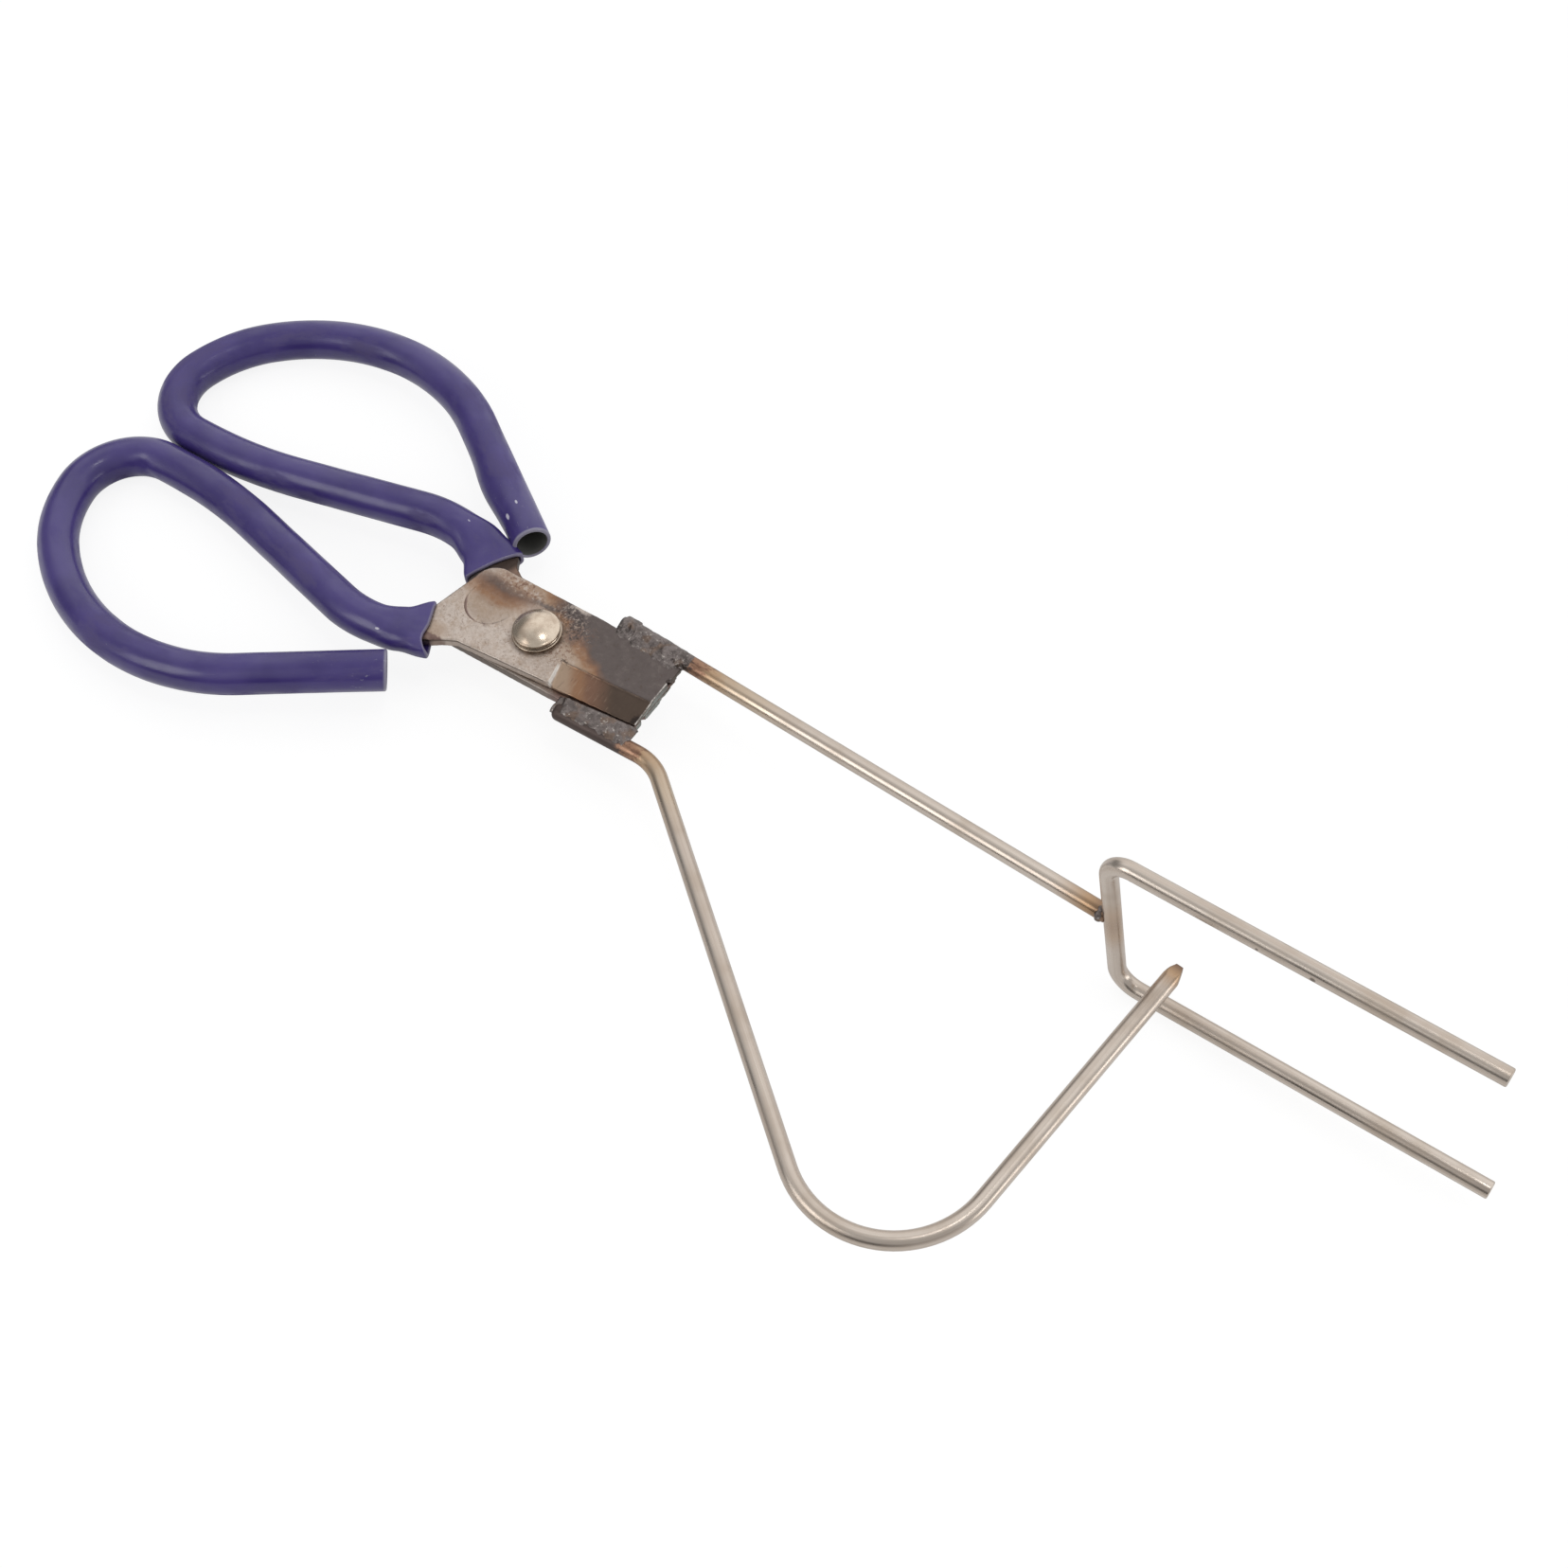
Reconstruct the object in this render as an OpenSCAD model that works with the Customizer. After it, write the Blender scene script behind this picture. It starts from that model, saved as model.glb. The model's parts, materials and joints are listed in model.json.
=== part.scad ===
// Glaze dipping tongs made from a pair of loop-handled scissors.
// The blades are cut short behind their points and round rods are welded along
// their backs: one carries a two-tined fork, the other ends in a single prong.
//
// Both scissor halves are drawn in one half frame: the pivot axis is Z, the
// working end points along +X, the back of the blade lies at +Y, the handle
// loop at -Y, and the face that slides on the other blade looks down at Z = 0.
// The lower half is the same forging turned over about the X axis.

/* [Blades] */
// Thickness of each blade
blade_t = 2.5; // [2:0.1:3]
// Thickness of each blade at its cut end
blade_end_t = 1.5; // [1.3:0.1:2]
// Total air between the two sliding faces
blade_gap = 0.1; // [0.06:0.02:0.2]
// Pivot to the back of the blade
back_y = 11; // [10:0.2:12]
// Pivot to the heel, where the cutting edge begins
heel_x = 14.6; // [12:0.1:16]
// Pivot to the upper blade's cutting edge at its heel
upper_heel_y = 11.5; // [10.8:0.1:12.2]
// Pivot to the lower blade's cutting edge at its heel
lower_heel_y = 12.5; // [11:0.1:13]
// Depth of the hollow between the upper blade's heel and its neck
upper_hollow = 0.2; // [0:0.1:0.6]
// Depth of the hollow between the lower blade's heel and its neck
lower_hollow = 0.8; // [0.3:0.1:1.2]
// Pivot to the cutting edge where the bevel begins
edge_y = 9.9; // [9:0.1:10.8]
// Pivot to the cutting edge at the cut end
edge_end_y = 8; // [7:0.1:8.8]
// Pivot to the end where the blade was cut off
cut_x = 33.6; // [33:0.1:45]
// Pivot to the rear of the rounded shoulder
shoulder_x = 22.5; // [20:0.1:22.6]
// Radius of the rounded shoulder
shoulder_r = 5.5; // [4:0.1:8]
// Taper of the upper blade's back along its rod, in degrees
upper_taper = 3.5; // [2:0.1:5]
// Taper of the lower blade's back along its rod, in degrees
lower_taper = 0.6; // [0:0.1:2]
// Depth of the notch that the cut left in the end
notch_depth = 1.2; // [0.6:0.1:2]
// Width of that notch
notch_w = 2; // [1:0.1:3]
// Place of that notch above the pivot line
notch_y = 5.2; // [3:0.1:7]

/* [Bevel and thumb dish] */
// Pivot to the start of the ground bevel, where the blade also begins to thin
bevel_x = 9; // [8.4:0.1:12]
// Pivot line to the top of the bevel at its start
bevel_top_y = 3.4; // [2:0.1:4.4]
// Pivot line to the top of the bevel at the cut end
bevel_end_y = 1.4; // [0.5:0.1:3]
// Step down along the top of the bevel
bevel_step = 0.3; // [0.1:0.05:0.4]
// Thickness left at the cutting edge where the bevel begins
bevel_edge_t = 1.3; // [1.1:0.1:1.8]
// Slope of the face where the bevel begins, in degrees
bevel_slope = 50; // [35:1:70]
// Slant of that face across the blade, in degrees
bevel_slant = 13; // [0:1:20]
// Radius of the shallow dish pressed into the face behind the pivot
dish_r = 6.3; // [5:0.1:6.5]
// Depth of the middle of that dish
dish_depth = 0.25; // [0.1:0.05:0.5]
// Pivot back to the middle of that dish
dish_x = 14.5; // [13.6:0.1:15.4]
// Height of the middle of that dish above the pivot line
dish_y = 1.5; // [0:0.1:2.5]
// Tilt of the floor of that dish, in degrees
dish_tilt = 3.5; // [1:0.5:5]
// Heading of its deepest side, in degrees
dish_heading = 232; // [200:1:260]

/* [Rivet] */
// Diameter of the rivet's shank
shank_d = 5; // [4:0.1:6]
// Radial air between the shank and the holes
pivot_clear = 0.05; // [0.02:0.01:0.1]
// Diameter of the domed head
head_d = 11; // [10:0.2:11.4]
// Height of the dome
head_h = 2.3; // [1.6:0.1:3]
// Height of the straight rim under the dome
head_rim = 0.5; // [0.3:0.1:1]
// Diameter of the washer under the head
head_washer_d = 11.6; // [11.4:0.2:13]
// Thickness of the washer under the head
head_washer_t = 0.6; // [0.5:0.1:1.2]
// Diameter of the washer under the peened tail
tail_washer_d = 10; // [8.6:0.2:12]
// Thickness of the washer under the peened tail
tail_washer_t = 0.8; // [0.5:0.1:1.2]
// Diameter of the peened tail
tail_d = 7.6; // [6.6:0.2:8.4]
// Height of the peened tail
tail_h = 1.4; // [1:0.1:2]

/* [Handle loops] */
// Diameter of the steel tang inside each loop
tang_d = 7.3; // [7:0.1:7.6]
// Air between the tang and its sleeve
sleeve_fit = 0.2; // [0.15:0.05:0.3]
// Wall of the sleeve
sleeve_wall = 1; // [0.8:0.05:1.1]
// Air between the two sleeves when the tongs are shut
loop_gap = 0.4; // [0.3:0.05:1]
// Pivot to the mouth of the sleeve
mouth_x = 22.1; // [22:0.1:24]
// Width of the flat neck at the mouth of the sleeve
neck_w = 12.5; // [12:0.1:13.2]
// Room between the upper neck and the near side of its sleeve's mouth
upper_neck_room = 2.4; // [0:0.2:3]
// Room between the lower neck and the near side of its sleeve's mouth
lower_neck_room = 0; // [0:0.2:3]
// Width of the neck halfway to the round tang
neck_mid_w = 8.8; // [8:0.1:9.6]
// Thickness of the neck halfway to the round tang
neck_mid_t = 5; // [4:0.1:6]
// Straight flat length just inside the mouth
neck_run = 1.6; // [1:0.1:3]
// Radius of the bend from the neck into the shank
neck_bend_r = 33; // [30:0.5:36]
// Angle of that bend where the tang is round
neck_bend = 21; // [19:0.5:23]
// Angle of that bend where the tang flattens into the neck
neck_flare_bend = 21.5; // [20:0.5:23]
// Straight length of the shank between neck and loop
shank_run = 33.5; // [30:0.5:38]
// Radius of the slow bow where the two loops touch
bow_r = 120; // [100:5:140]
// Angle of the slow bow
bow_bend = 13; // [11.5:0.5:13.5]
// Straight length from the touching point to the crown of the loop
crown_run = 4.5; // [2:0.5:9]
// Radius of the tight bend at the crown of the loop
crown_r = 14.5; // [14:0.1:17]
// Angle of the bend at the crown
crown_bend = 103.5; // [98:0.5:105]
// Radius of the loop's outer side
side_r = 32; // [31:0.5:36]
// Angle of the loop's outer side
side_bend = 33; // [30:0.5:38]
// Radius of the belly of the loop
belly_r = 51; // [50:0.5:56]
// Turn of the whole loop, from the touching point to the free end, in degrees
loop_turn = 213.5; // [211:0.5:215]
// Pivot to the free end of the upper loop's sleeve
upper_free_x = 25.5; // [24:0.5:32]
// Pivot to the free end of the lower loop's sleeve
lower_free_x = 18.6; // [18:0.2:26]
// Depth of the empty sleeve beyond the end of each tang
tang_short = 10; // [4:0.5:16]

/* [Rods and fork] */
// Diameter of the rod stock
rod_d = 4; // [3.6:0.1:4]
// Length of the straight arm that lies along the upper blade's back
upper_seam_l = 18.6; // [16:0.2:19.2]
// Length of the bent arm that lies along the lower blade's back
lower_seam_l = 19.2; // [16:0.2:20]
// Air between rod and blade back, bridged by the weld
root_gap = 0.2; // [0.1:0.05:0.4]
// Straight arm, from its start on the blade to the fork's crossbar
arm_l = 132; // [110:0.5:150]
// Spacing of the two tines
tine_gap = 44.8; // [36:0.5:60]
// Height of the upper tine above the arm
tine_rise = 21.2; // [16:0.1:28]
// Corner of the fork to the tip of each tine
tine_l = 86.5; // [70:0.5:110]
// Forward lean of the crossbar, in degrees
crossbar_lean = 7.2; // [0:0.1:10]
// Inward turn of the tines, in degrees
tine_turn = 1.4; // [0:0.1:4]
// Bend radius of the fork's upper corner
upper_corner_r = 5; // [4:0.1:7]
// Bend radius of the fork's lower corner
lower_corner_r = 6; // [4:0.1:9]

/* [Bent arm and prong] */
// Straight length of the bent arm past the cut end of its blade
lead_run = 3.6; // [1:0.1:5]
// Radius of the first bend
kick_r = 13; // [10:0.5:16]
// Angle of the first bend
kick_bend = 39.5; // [36:0.5:44]
// Straight length of the slanting leg
slant_run = 96.5; // [80:0.5:100]
// Radius of the big bend
elbow_r = 22; // [18:0.5:28]
// Angle of the big bend
elbow_bend = 122.6; // [118:0.2:126]
// Straight length of the prong, tip included
prong_run = 65.5; // [50:0.5:66]
// Length of the ground point
point_l = 3.6; // [2:0.1:5]
// Width of the blunt end of the point
point_w = 1.6; // [1:0.1:2.4]

/* [Welds] */
// Radius of the lumps in the upper seam
upper_bead_r = 1.7; // [1.4:0.05:2]
// Radius of the lumps in the lower seam
lower_bead_r = 1.6; // [1.4:0.05:1.8]
// Lumps in each seam
seam_lumps = 9; // [8:1:12]
// Air between the lower seam and the upper blade's edge
seam_clear = 0.4; // [0.3:0.05:0.8]
// Height of the flat weld metal between the lower rod and the upper blade's edge
slab_t = 0.6; // [0.3:0.1:1]
// Radius of the lumps round the fork's joint
fork_bead_r = 1.2; // [1:0.05:1.5]
// Lumps round the fork's joint
fork_lumps = 7; // [6:1:9]

/* [Hidden] */
$fn = 64;

steel_tint = [0.62, 0.58, 0.53];
rod_tint = [0.70, 0.67, 0.62];
nickel_tint = [0.78, 0.74, 0.67];
weld_tint = [0.30, 0.28, 0.28];
sleeve_tint = [0.22, 0.18, 0.45];

// Overlap of pieces that are fused, and overshoot of cuts
bite = 0.5;

// Facets of the shallow domes and dish, and of the small weld lumps
fine = 128;
coarse = 32;

// A bent bar is cut from straight and curved pieces that stop a hair short of each other,
// and a collar a hair fatter than the bar, curved like the bend beside it, closes each joint
joint_air = 0.04;
joint_swell = 0.05;
joint_half = 0.2;

// Cross-sections of the neck run from round to flat: a power of 2 is a true ellipse and a
// high power is nearly a rectangle
round_power = 2;
oval_power = 2.4;
soft_power = 4;
flat_power = 12;
slice_t = 0.02;

// The neck closes round the end of the round tang like a collar, this much fatter and this far
neck_swell = 0.15;
neck_lap = 0.2;
slice_step = 11.25;

// How far the plate's root is drawn in from the sides of the neck that it is fused to
root_inset = 0.3;

// The lumps of a weld differ by these shares and distances, scattered by uneven angles
swell_share = 0.09;
swell_angle = 137;
drift = 0.18;
drift_angle = 223;

rod_r = rod_d / 2;
tang_r = tang_d / 2;
bore_r = tang_r + sleeve_fit;
sleeve_r = bore_r + sleeve_wall;

// Levels above the shear plane
face_z = blade_gap / 2;
top_z = face_z + blade_t;
mid_z = face_z + blade_t / 2;

// A pose is [x, y, heading]. A piece is [length, 0] for a straight or [bend radius, turn] for
// a bend, where a left turn is positive.
function left(heading) = [-sin(heading), cos(heading)];

function after_run(pose, run) = [
    pose[0] + run * cos(pose[2]),
    pose[1] + run * sin(pose[2]),
    pose[2]
];

function after_bend(pose, radius, turn) =
    let (side = turn < 0 ? -1 : 1, shift = side * radius * (left(pose[2]) - left(pose[2] + turn)))
    [pose[0] + shift[0], pose[1] + shift[1], pose[2] + turn];

function after_piece(pose, piece) =
    piece[1] == 0 ? after_run(pose, piece[0]) : after_bend(pose, piece[0], piece[1]);

function after_pieces(pose, pieces, i = 0) =
    i == len(pieces) ? pose : after_pieces(after_piece(pose, pieces[i]), pieces, i + 1);

// Handle loop, from where the round tang leaves the neck back to the point where the two
// loops touch, and on round the loop to its free end
shank_pieces = [[neck_bend_r, -neck_bend], [shank_run, 0], [bow_r, bow_bend]];
crown_pieces = [[crown_run, 0], [crown_r, crown_bend]];
belly_bend = loop_turn - crown_bend - side_bend;
round_pieces = [[side_r, side_bend], [belly_r, belly_bend]];
start_heading = 180 + neck_bend - bow_bend;
half_flare = [neck_bend_r, neck_flare_bend / 2];
flare_from_start = after_pieces([0, 0, start_heading - 180], [half_flare, half_flare, [neck_run, 0]]);
touch_from_start = after_pieces([0, 0, start_heading], shank_pieces);
tang_start = [
    -mouth_x - flare_from_start[0],
    -sleeve_r - loop_gap / 2 - touch_from_start[1],
    start_heading
];
neck_start = [tang_start[0], tang_start[1], start_heading - 180];
flare_mid = after_piece(neck_start, half_flare);
mouth = after_pieces(flare_mid, [half_flare, [neck_run, 0]]);
touch = after_pieces(tang_start, shank_pieces);
side_start = after_pieces(touch, crown_pieces);
belly_start = after_piece(side_start, round_pieces[0]);
belly_end = after_piece(belly_start, round_pieces[1]);

function loop_pieces(free_x) = concat(
    shank_pieces,
    crown_pieces,
    round_pieces,
    [[(-free_x - belly_end[0]) / cos(belly_end[2]), 0]]
);

// What differs between the halves: the taper of the back, the heel, its hollow, and the room
// beside the neck
upper_form = [upper_taper, upper_heel_y, upper_hollow, upper_neck_room];
lower_form = [lower_taper, lower_heel_y, lower_hollow, lower_neck_room];

// Blade back: straight over the pivot, then tapering along the welded rod
taper_x = cut_x - max(upper_seam_l, lower_seam_l) - rod_r;
function back_at(x, taper) = back_y - (x - taper_x) * tan(taper);
function rod_start(taper, seam_l) =
    let (x = cut_x - seam_l)
    [x, back_at(x, taper) + (rod_r + root_gap) / cos(taper), -taper];
arm_start = rod_start(upper_taper, upper_seam_l);

// Cutting edge past the start of the bevel, and the outer face, which slopes down to the cut end
function edge_at(x) = edge_y - (edge_y - edge_end_y) * (x - bevel_x) / (cut_x - bevel_x);
thinning = atan2(blade_t - blade_end_t, cut_x - bevel_x);
function top_at(x) = top_z - (x - bevel_x) * tan(thinning);

// Fork, from the point where the arm's axis meets the crossbar's
joint = after_run(arm_start, arm_l);
joint_z = mid_z;
upper_turn = 90 + crossbar_lean;
lower_turn = 90 - crossbar_lean;
upper_miter = upper_corner_r * tan(upper_turn / 2);
lower_miter = lower_corner_r * tan(lower_turn / 2);
tine_drop = tine_gap - tine_rise;
crossbar_run = tine_gap / cos(crossbar_lean) - upper_miter - lower_miter;
fork_pieces = [
    [tine_l - upper_miter, 0],
    [upper_corner_r, upper_turn],
    [crossbar_run, 0],
    [lower_corner_r, lower_turn],
    [tine_l - lower_miter, 0]
];
upper_tip = [tine_l - tine_rise * tan(crossbar_lean), tine_rise, 180];

// Bent arm in the half frame of the lower blade
bent_start = rod_start(lower_taper, lower_seam_l);
lead_pieces = [[lower_seam_l + lead_run, 0], [kick_r, kick_bend], [slant_run, 0]];
prong_pieces = [[elbow_r, -elbow_bend], [prong_run, 0]];

// How the tongs lie: on the crowns of both loops and on the fork's lower corner
crown_x = touch[0] - crown_run - crown_r;
corner_s = tine_drop * tan(crossbar_lean) + lower_miter;
corner_x = joint[0] + corner_s * cos(tine_turn);
corner_z = joint_z - tine_drop + lower_corner_r;
rest_span = norm([corner_x - crown_x, corner_z]);
pitch = asin((lower_corner_r + rod_r - sleeve_r) / rest_span) - atan2(corner_z, corner_x - crown_x);
floor_z = crown_x * sin(pitch) - sleeve_r;

// Middle of the outline on the floor, where the origin lies
tip_x = joint[0] + (tine_drop * tan(crossbar_lean) + tine_l) * cos(tine_turn);
tip_z = joint_z - tine_drop;
tip_rim = rod_r * sqrt(1 - pow(cos(tine_turn) * cos(pitch), 2));
front_x = tip_x * cos(pitch) - tip_z * sin(pitch) + tip_rim;
rear_x = crown_x * cos(pitch) - sleeve_r;
belly_y = -(belly_start[1] + belly_r * (left(belly_start[2])[1] - 1)) + sleeve_r;
elbow_start = after_pieces(bent_start, lead_pieces);
elbow_y = elbow_start[1] - elbow_r * left(elbow_start[2])[1] + elbow_r + rod_r;
middle_x = (front_x + rear_x) / 2;
middle_y = (belly_y - elbow_y) / 2;

// Placing

module lie_down() {
    translate([-middle_x, -middle_y, -floor_z])
        rotate([0, -pitch, 0])
            children();
}

module lower_half() {
    rotate([180, 0, 0])
        children();
}

module at_pose(pose, z = 0) {
    translate([pose[0], pose[1], z])
        rotate([0, 0, pose[2]])
            children();
}

// Rods and tubes

// A straight round bar along +X
module bar(radius, length) {
    rotate([0, 90, 0])
        cylinder(r = radius, h = length);
}

// A round bar bent through an arc, starting along +X
module bend(radius, bend_r, turn, skip) {
    mirror([0, turn < 0 ? 1 : 0, 0])
        translate([0, bend_r, 0])
            rotate([0, 0, skip - 90])
                rotate_extrude(angle = abs(turn) - skip)
                    translate([bend_r, 0])
                        circle(r = radius);
}

// One piece of a bent bar, trimmed at a joint
module bar_piece(radius, piece, trim_start, trim_end) {
    degrees_per_mm = 180 / PI / piece[0];
    turned_back = (piece[1] < 0 ? -1 : 1) * trim_end * degrees_per_mm;
    if (piece[1] == 0)
        translate([trim_start, 0, 0])
            bar(radius, piece[0] - trim_start - trim_end);
    else
        bend(radius, piece[0], piece[1] - turned_back, trim_start * degrees_per_mm);
}

// The collar on a joint beside a bent piece
module collar(radius, piece) {
    half_turn = joint_half * 180 / PI / piece[0];
    bend(radius + joint_swell, piece[0], sign(piece[1]) * half_turn, -half_turn);
}

// A round bar that follows a list of pieces from a starting pose
module bent_bar(radius, pose, pieces, i = 0) {
    last = i == len(pieces) - 1;
    at_pose(pose) {
        bar_piece(radius, pieces[i], i == 0 ? 0 : joint_air, last ? 0 : joint_air);
        if (i > 0)
            collar(radius, pieces[i][1] == 0 ? pieces[i - 1] : pieces[i]);
    }
    if (!last)
        bent_bar(radius, after_piece(pose, pieces[i]), pieces, i + 1);
}

// The round part of a handle loop, ending at free_x
module loop_bar(radius, free_x, extra = 0) {
    tail = [extra, 0];
    pieces = loop_pieces(free_x);
    end = len(pieces) - 1;
    bent_bar(radius, tang_start, [for (i = [0 : end]) i == end ? pieces[end] + tail : pieces[i]]);
}

// Neck, where the round tang flattens into the blade

// Outline between an ellipse and a rectangle
function bulge(share, power) = sign(share) * pow(abs(share), 2 / power);
function squarish(w, t, power) = [
    for (a = [0 : slice_step : 359])
        [w / 2 * bulge(cos(a), power), t / 2 * bulge(sin(a), power)]
];

// A thin slice across the path
module slice(w, t, power) {
    rotate([90, 0, 90])
        linear_extrude(height = slice_t)
            polygon(squarish(w, t, power));
}

// The flattened part, grown by an allowance all round; it laps over the end of the round
// tang, and past the mouth by reach it ends a hair inside the blade; room narrows its near side
module neck(grow, square, reach, room = 0) {
    inside = grow - joint_swell;
    collar_d = tang_d + 2 * (grow + neck_swell);
    mid_w = neck_mid_w + 2 * grow;
    mid_t = neck_mid_t + 2 * grow;
    hull() {
        at_pose(after_run(neck_start, -neck_lap))
            slice(collar_d, collar_d, round_power);
        at_pose(flare_mid, mid_z / 2)
            slice(mid_w, mid_t, oval_power);
    }
    hull() {
        at_pose(flare_mid, mid_z / 2)
            slice(mid_w, mid_t, oval_power);
        at_pose(after_run(mouth, reach), mid_z)
            translate([0, room / 2, 0])
                slice(neck_w - room + 2 * inside, blade_t + 2 * inside, square);
    }
}

// Blades

module blade_outline(form) {
    neck_in = after_run(mouth, -bite);
    across = left(mouth[2]);
    near_w = neck_w / 2 - form[3];
    far_w = neck_w / 2;
    corner = [mouth[0], mouth[1]] - across * near_w;
    heel = [-heel_x, -form[1]];
    hollow = (corner + heel) / 2 + form[2] * left(mouth[2] + neck_flare_bend);
    polygon([
        [neck_in[0], neck_in[1]] - across * (near_w - root_inset),
        corner,
        hollow,
        heel,
        [bevel_x, -edge_y],
        [cut_x, -edge_end_y],
        [cut_x, back_at(cut_x, form[0])],
        [taper_x, back_y],
        [shoulder_r - shoulder_x, back_y],
        [-shoulder_x, back_y - shoulder_r],
        [mouth[0], mouth[1]] + across * far_w,
        [neck_in[0], neck_in[1]] + across * (far_w - root_inset)
    ]);
    translate([shoulder_r - shoulder_x, back_y - shoulder_r])
        circle(r = shoulder_r);
}

// The flat plate, which thins towards the cut end on its outer face
module plate(form) {
    difference() {
        translate([0, 0, face_z])
            linear_extrude(height = blade_t)
                blade_outline(form);
        translate([bevel_x, -2 * back_y, top_z])
            rotate([0, thinning, 0])
                cube([2 * cut_x, 4 * back_y, blade_t]);
    }
}

// Material ground away along the cutting edge, on the outer face
module bevel_cut() {
    along = cut_x - bevel_x;
    rise = bevel_top_y - bevel_end_y;
    run = edge_y - bevel_top_y;
    roll = atan2(blade_t - bevel_edge_t - bevel_step, run);
    translate([bevel_x, -bevel_top_y, top_z])
        intersection() {
            rotate([0, 0, atan2(rise, along)])
                rotate([0, atan2(blade_t - blade_end_t, norm([along, rise])), 0])
                    rotate([roll, 0, 0])
                        translate([-run, -2 * run, -bevel_step])
                            cube([2 * cut_x, 2 * run, cut_x]);
            rotate([0, 0, bevel_slant])
                rotate([0, bevel_slope, 0])
                    translate([0, -2 * run, 0])
                        cube([2 * cut_x, 4 * run, cut_x]);
        }
}

// The thumb dish, whose floor tilts so that one side digs in and the other runs out
module dish_cut() {
    translate([-dish_x, dish_y, top_z - dish_depth])
        rotate([0, 0, dish_heading])
            rotate([0, dish_tilt, 0])
                cylinder(r = dish_r, h = blade_t);
}

module half_forging(free_x, form) {
    difference() {
        plate(form);
        bevel_cut();
        dish_cut();
        translate([cut_x - notch_depth, notch_y, 0])
            linear_extrude(height = 2 * top_z)
                polygon([[0, 0], [notch_depth + bite, -notch_w / 2], [notch_depth + bite, notch_w / 2]]);
        translate([0, 0, -bite])
            cylinder(r = shank_d / 2 + pivot_clear, h = top_z + 2 * bite);
    }
    neck(0, flat_power, bite, form[3]);
    loop_bar(tang_r, free_x, -tang_short);
}

module sleeve(free_x) {
    difference() {
        union() {
            neck(sleeve_fit + sleeve_wall, soft_power, 0);
            loop_bar(sleeve_r, free_x);
        }
        neck(sleeve_fit, flat_power, bite);
        loop_bar(bore_r, free_x, bite);
    }
}

module upper_blade() {
    color(steel_tint)
        lie_down()
            half_forging(upper_free_x, upper_form);
}

module lower_blade() {
    color(steel_tint)
        lie_down()
            lower_half()
                half_forging(lower_free_x, lower_form);
}

module upper_sleeve() {
    color(sleeve_tint)
        lie_down()
            sleeve(upper_free_x);
}

module lower_sleeve() {
    color(sleeve_tint)
        lie_down()
            lower_half()
                sleeve(lower_free_x);
}

// Rivet

// A low dome that stands on Z = 0
module dome(d, h) {
    ball = (d * d / 4 + h * h) / (2 * h);
    intersection() {
        translate([0, 0, h - ball])
            sphere(r = ball, $fn = fine);
        cylinder(d = d, h = h);
    }
}

module washer(d, t) {
    difference() {
        cylinder(d = d, h = t);
        translate([0, 0, -bite])
            cylinder(r = shank_d / 2 + pivot_clear, h = t + 2 * bite);
    }
}

module pivot_rivet() {
    head_z = top_z + head_washer_t;
    tail_z = -top_z - tail_washer_t;
    color(nickel_tint)
        lie_down() {
            translate([0, 0, tail_z])
                cylinder(d = shank_d, h = head_z - tail_z);
            translate([0, 0, head_z])
                cylinder(d = head_d, h = head_rim);
            translate([0, 0, head_z + head_rim])
                dome(head_d, head_h);
            translate([0, 0, tail_z])
                mirror([0, 0, 1])
                    dome(tail_d, tail_h);
        }
}

module head_washer() {
    color(nickel_tint)
        lie_down()
            translate([0, 0, top_z])
                washer(head_washer_d, head_washer_t);
}

module tail_washer() {
    color(nickel_tint)
        lie_down()
            translate([0, 0, -top_z - tail_washer_t])
                washer(tail_washer_d, tail_washer_t);
}

// Arms and fork

module arm_bar() {
    at_pose(arm_start, mid_z)
        bar(rod_r, arm_l);
}

// The fork is bent in the upright plane of its tines
module fork_frame() {
    translate([joint[0], joint[1], joint_z])
        rotate([0, 0, -tine_turn])
            rotate([90, 0, 0])
                children();
}

module fork_bar() {
    fork_frame()
        bent_bar(rod_r, upper_tip, fork_pieces);
}

module crossbar_only() {
    fork_frame()
        at_pose([0, 0, upper_turn])
            translate([-tine_drop, 0, 0])
                bar(rod_r, tine_gap);
}

module straight_arm() {
    color(rod_tint)
        lie_down()
            difference() {
                arm_bar();
                crossbar_only();
            }
}

module fork() {
    color(rod_tint)
        lie_down()
            fork_bar();
}

// Four flats ground on the end of the prong, drawn along +X
module point_cuts() {
    slope = atan2(rod_r - point_w / 2, point_l);
    for (a = [0 : 90 : 270])
        rotate([a, 0, 0])
            translate([-point_l, -rod_d, rod_r])
                rotate([0, slope, 0])
                    cube([2 * point_l, 2 * rod_d, rod_d]);
}

module bent_arm() {
    pieces = concat(lead_pieces, prong_pieces);
    color(rod_tint)
        lie_down()
            lower_half()
                difference() {
                    translate([0, 0, mid_z])
                        bent_bar(rod_r, bent_start, pieces);
                    at_pose(after_pieces(bent_start, pieces), mid_z)
                        point_cuts();
                }
}

// Welds

function lump_size(radius, i) = radius * (1 + swell_share * sin(i * swell_angle));

// A row of overlapping lumps beside the blade's back, as far out as given
module seam_lump_row(radius, out, form, seam_l, on_top) {
    step_x = (seam_l - radius) / (seam_lumps - 1);
    for (i = [0 : seam_lumps - 1]) {
        x = cut_x - seam_l + radius + i * step_x;
        y = back_at(x, form[0]) + out + drift * cos(i * drift_angle);
        translate([x, y, on_top ? top_at(x) : face_z])
            sphere(r = lump_size(radius, i), $fn = coarse);
    }
}

// What the weld lies against: the blade's plate and the rod along its back
module seam_seat(form, seam_l) {
    plate(form);
    at_pose(rod_start(form[0], seam_l), mid_z)
        bar(rod_r, seam_l + rod_d);
}

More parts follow.
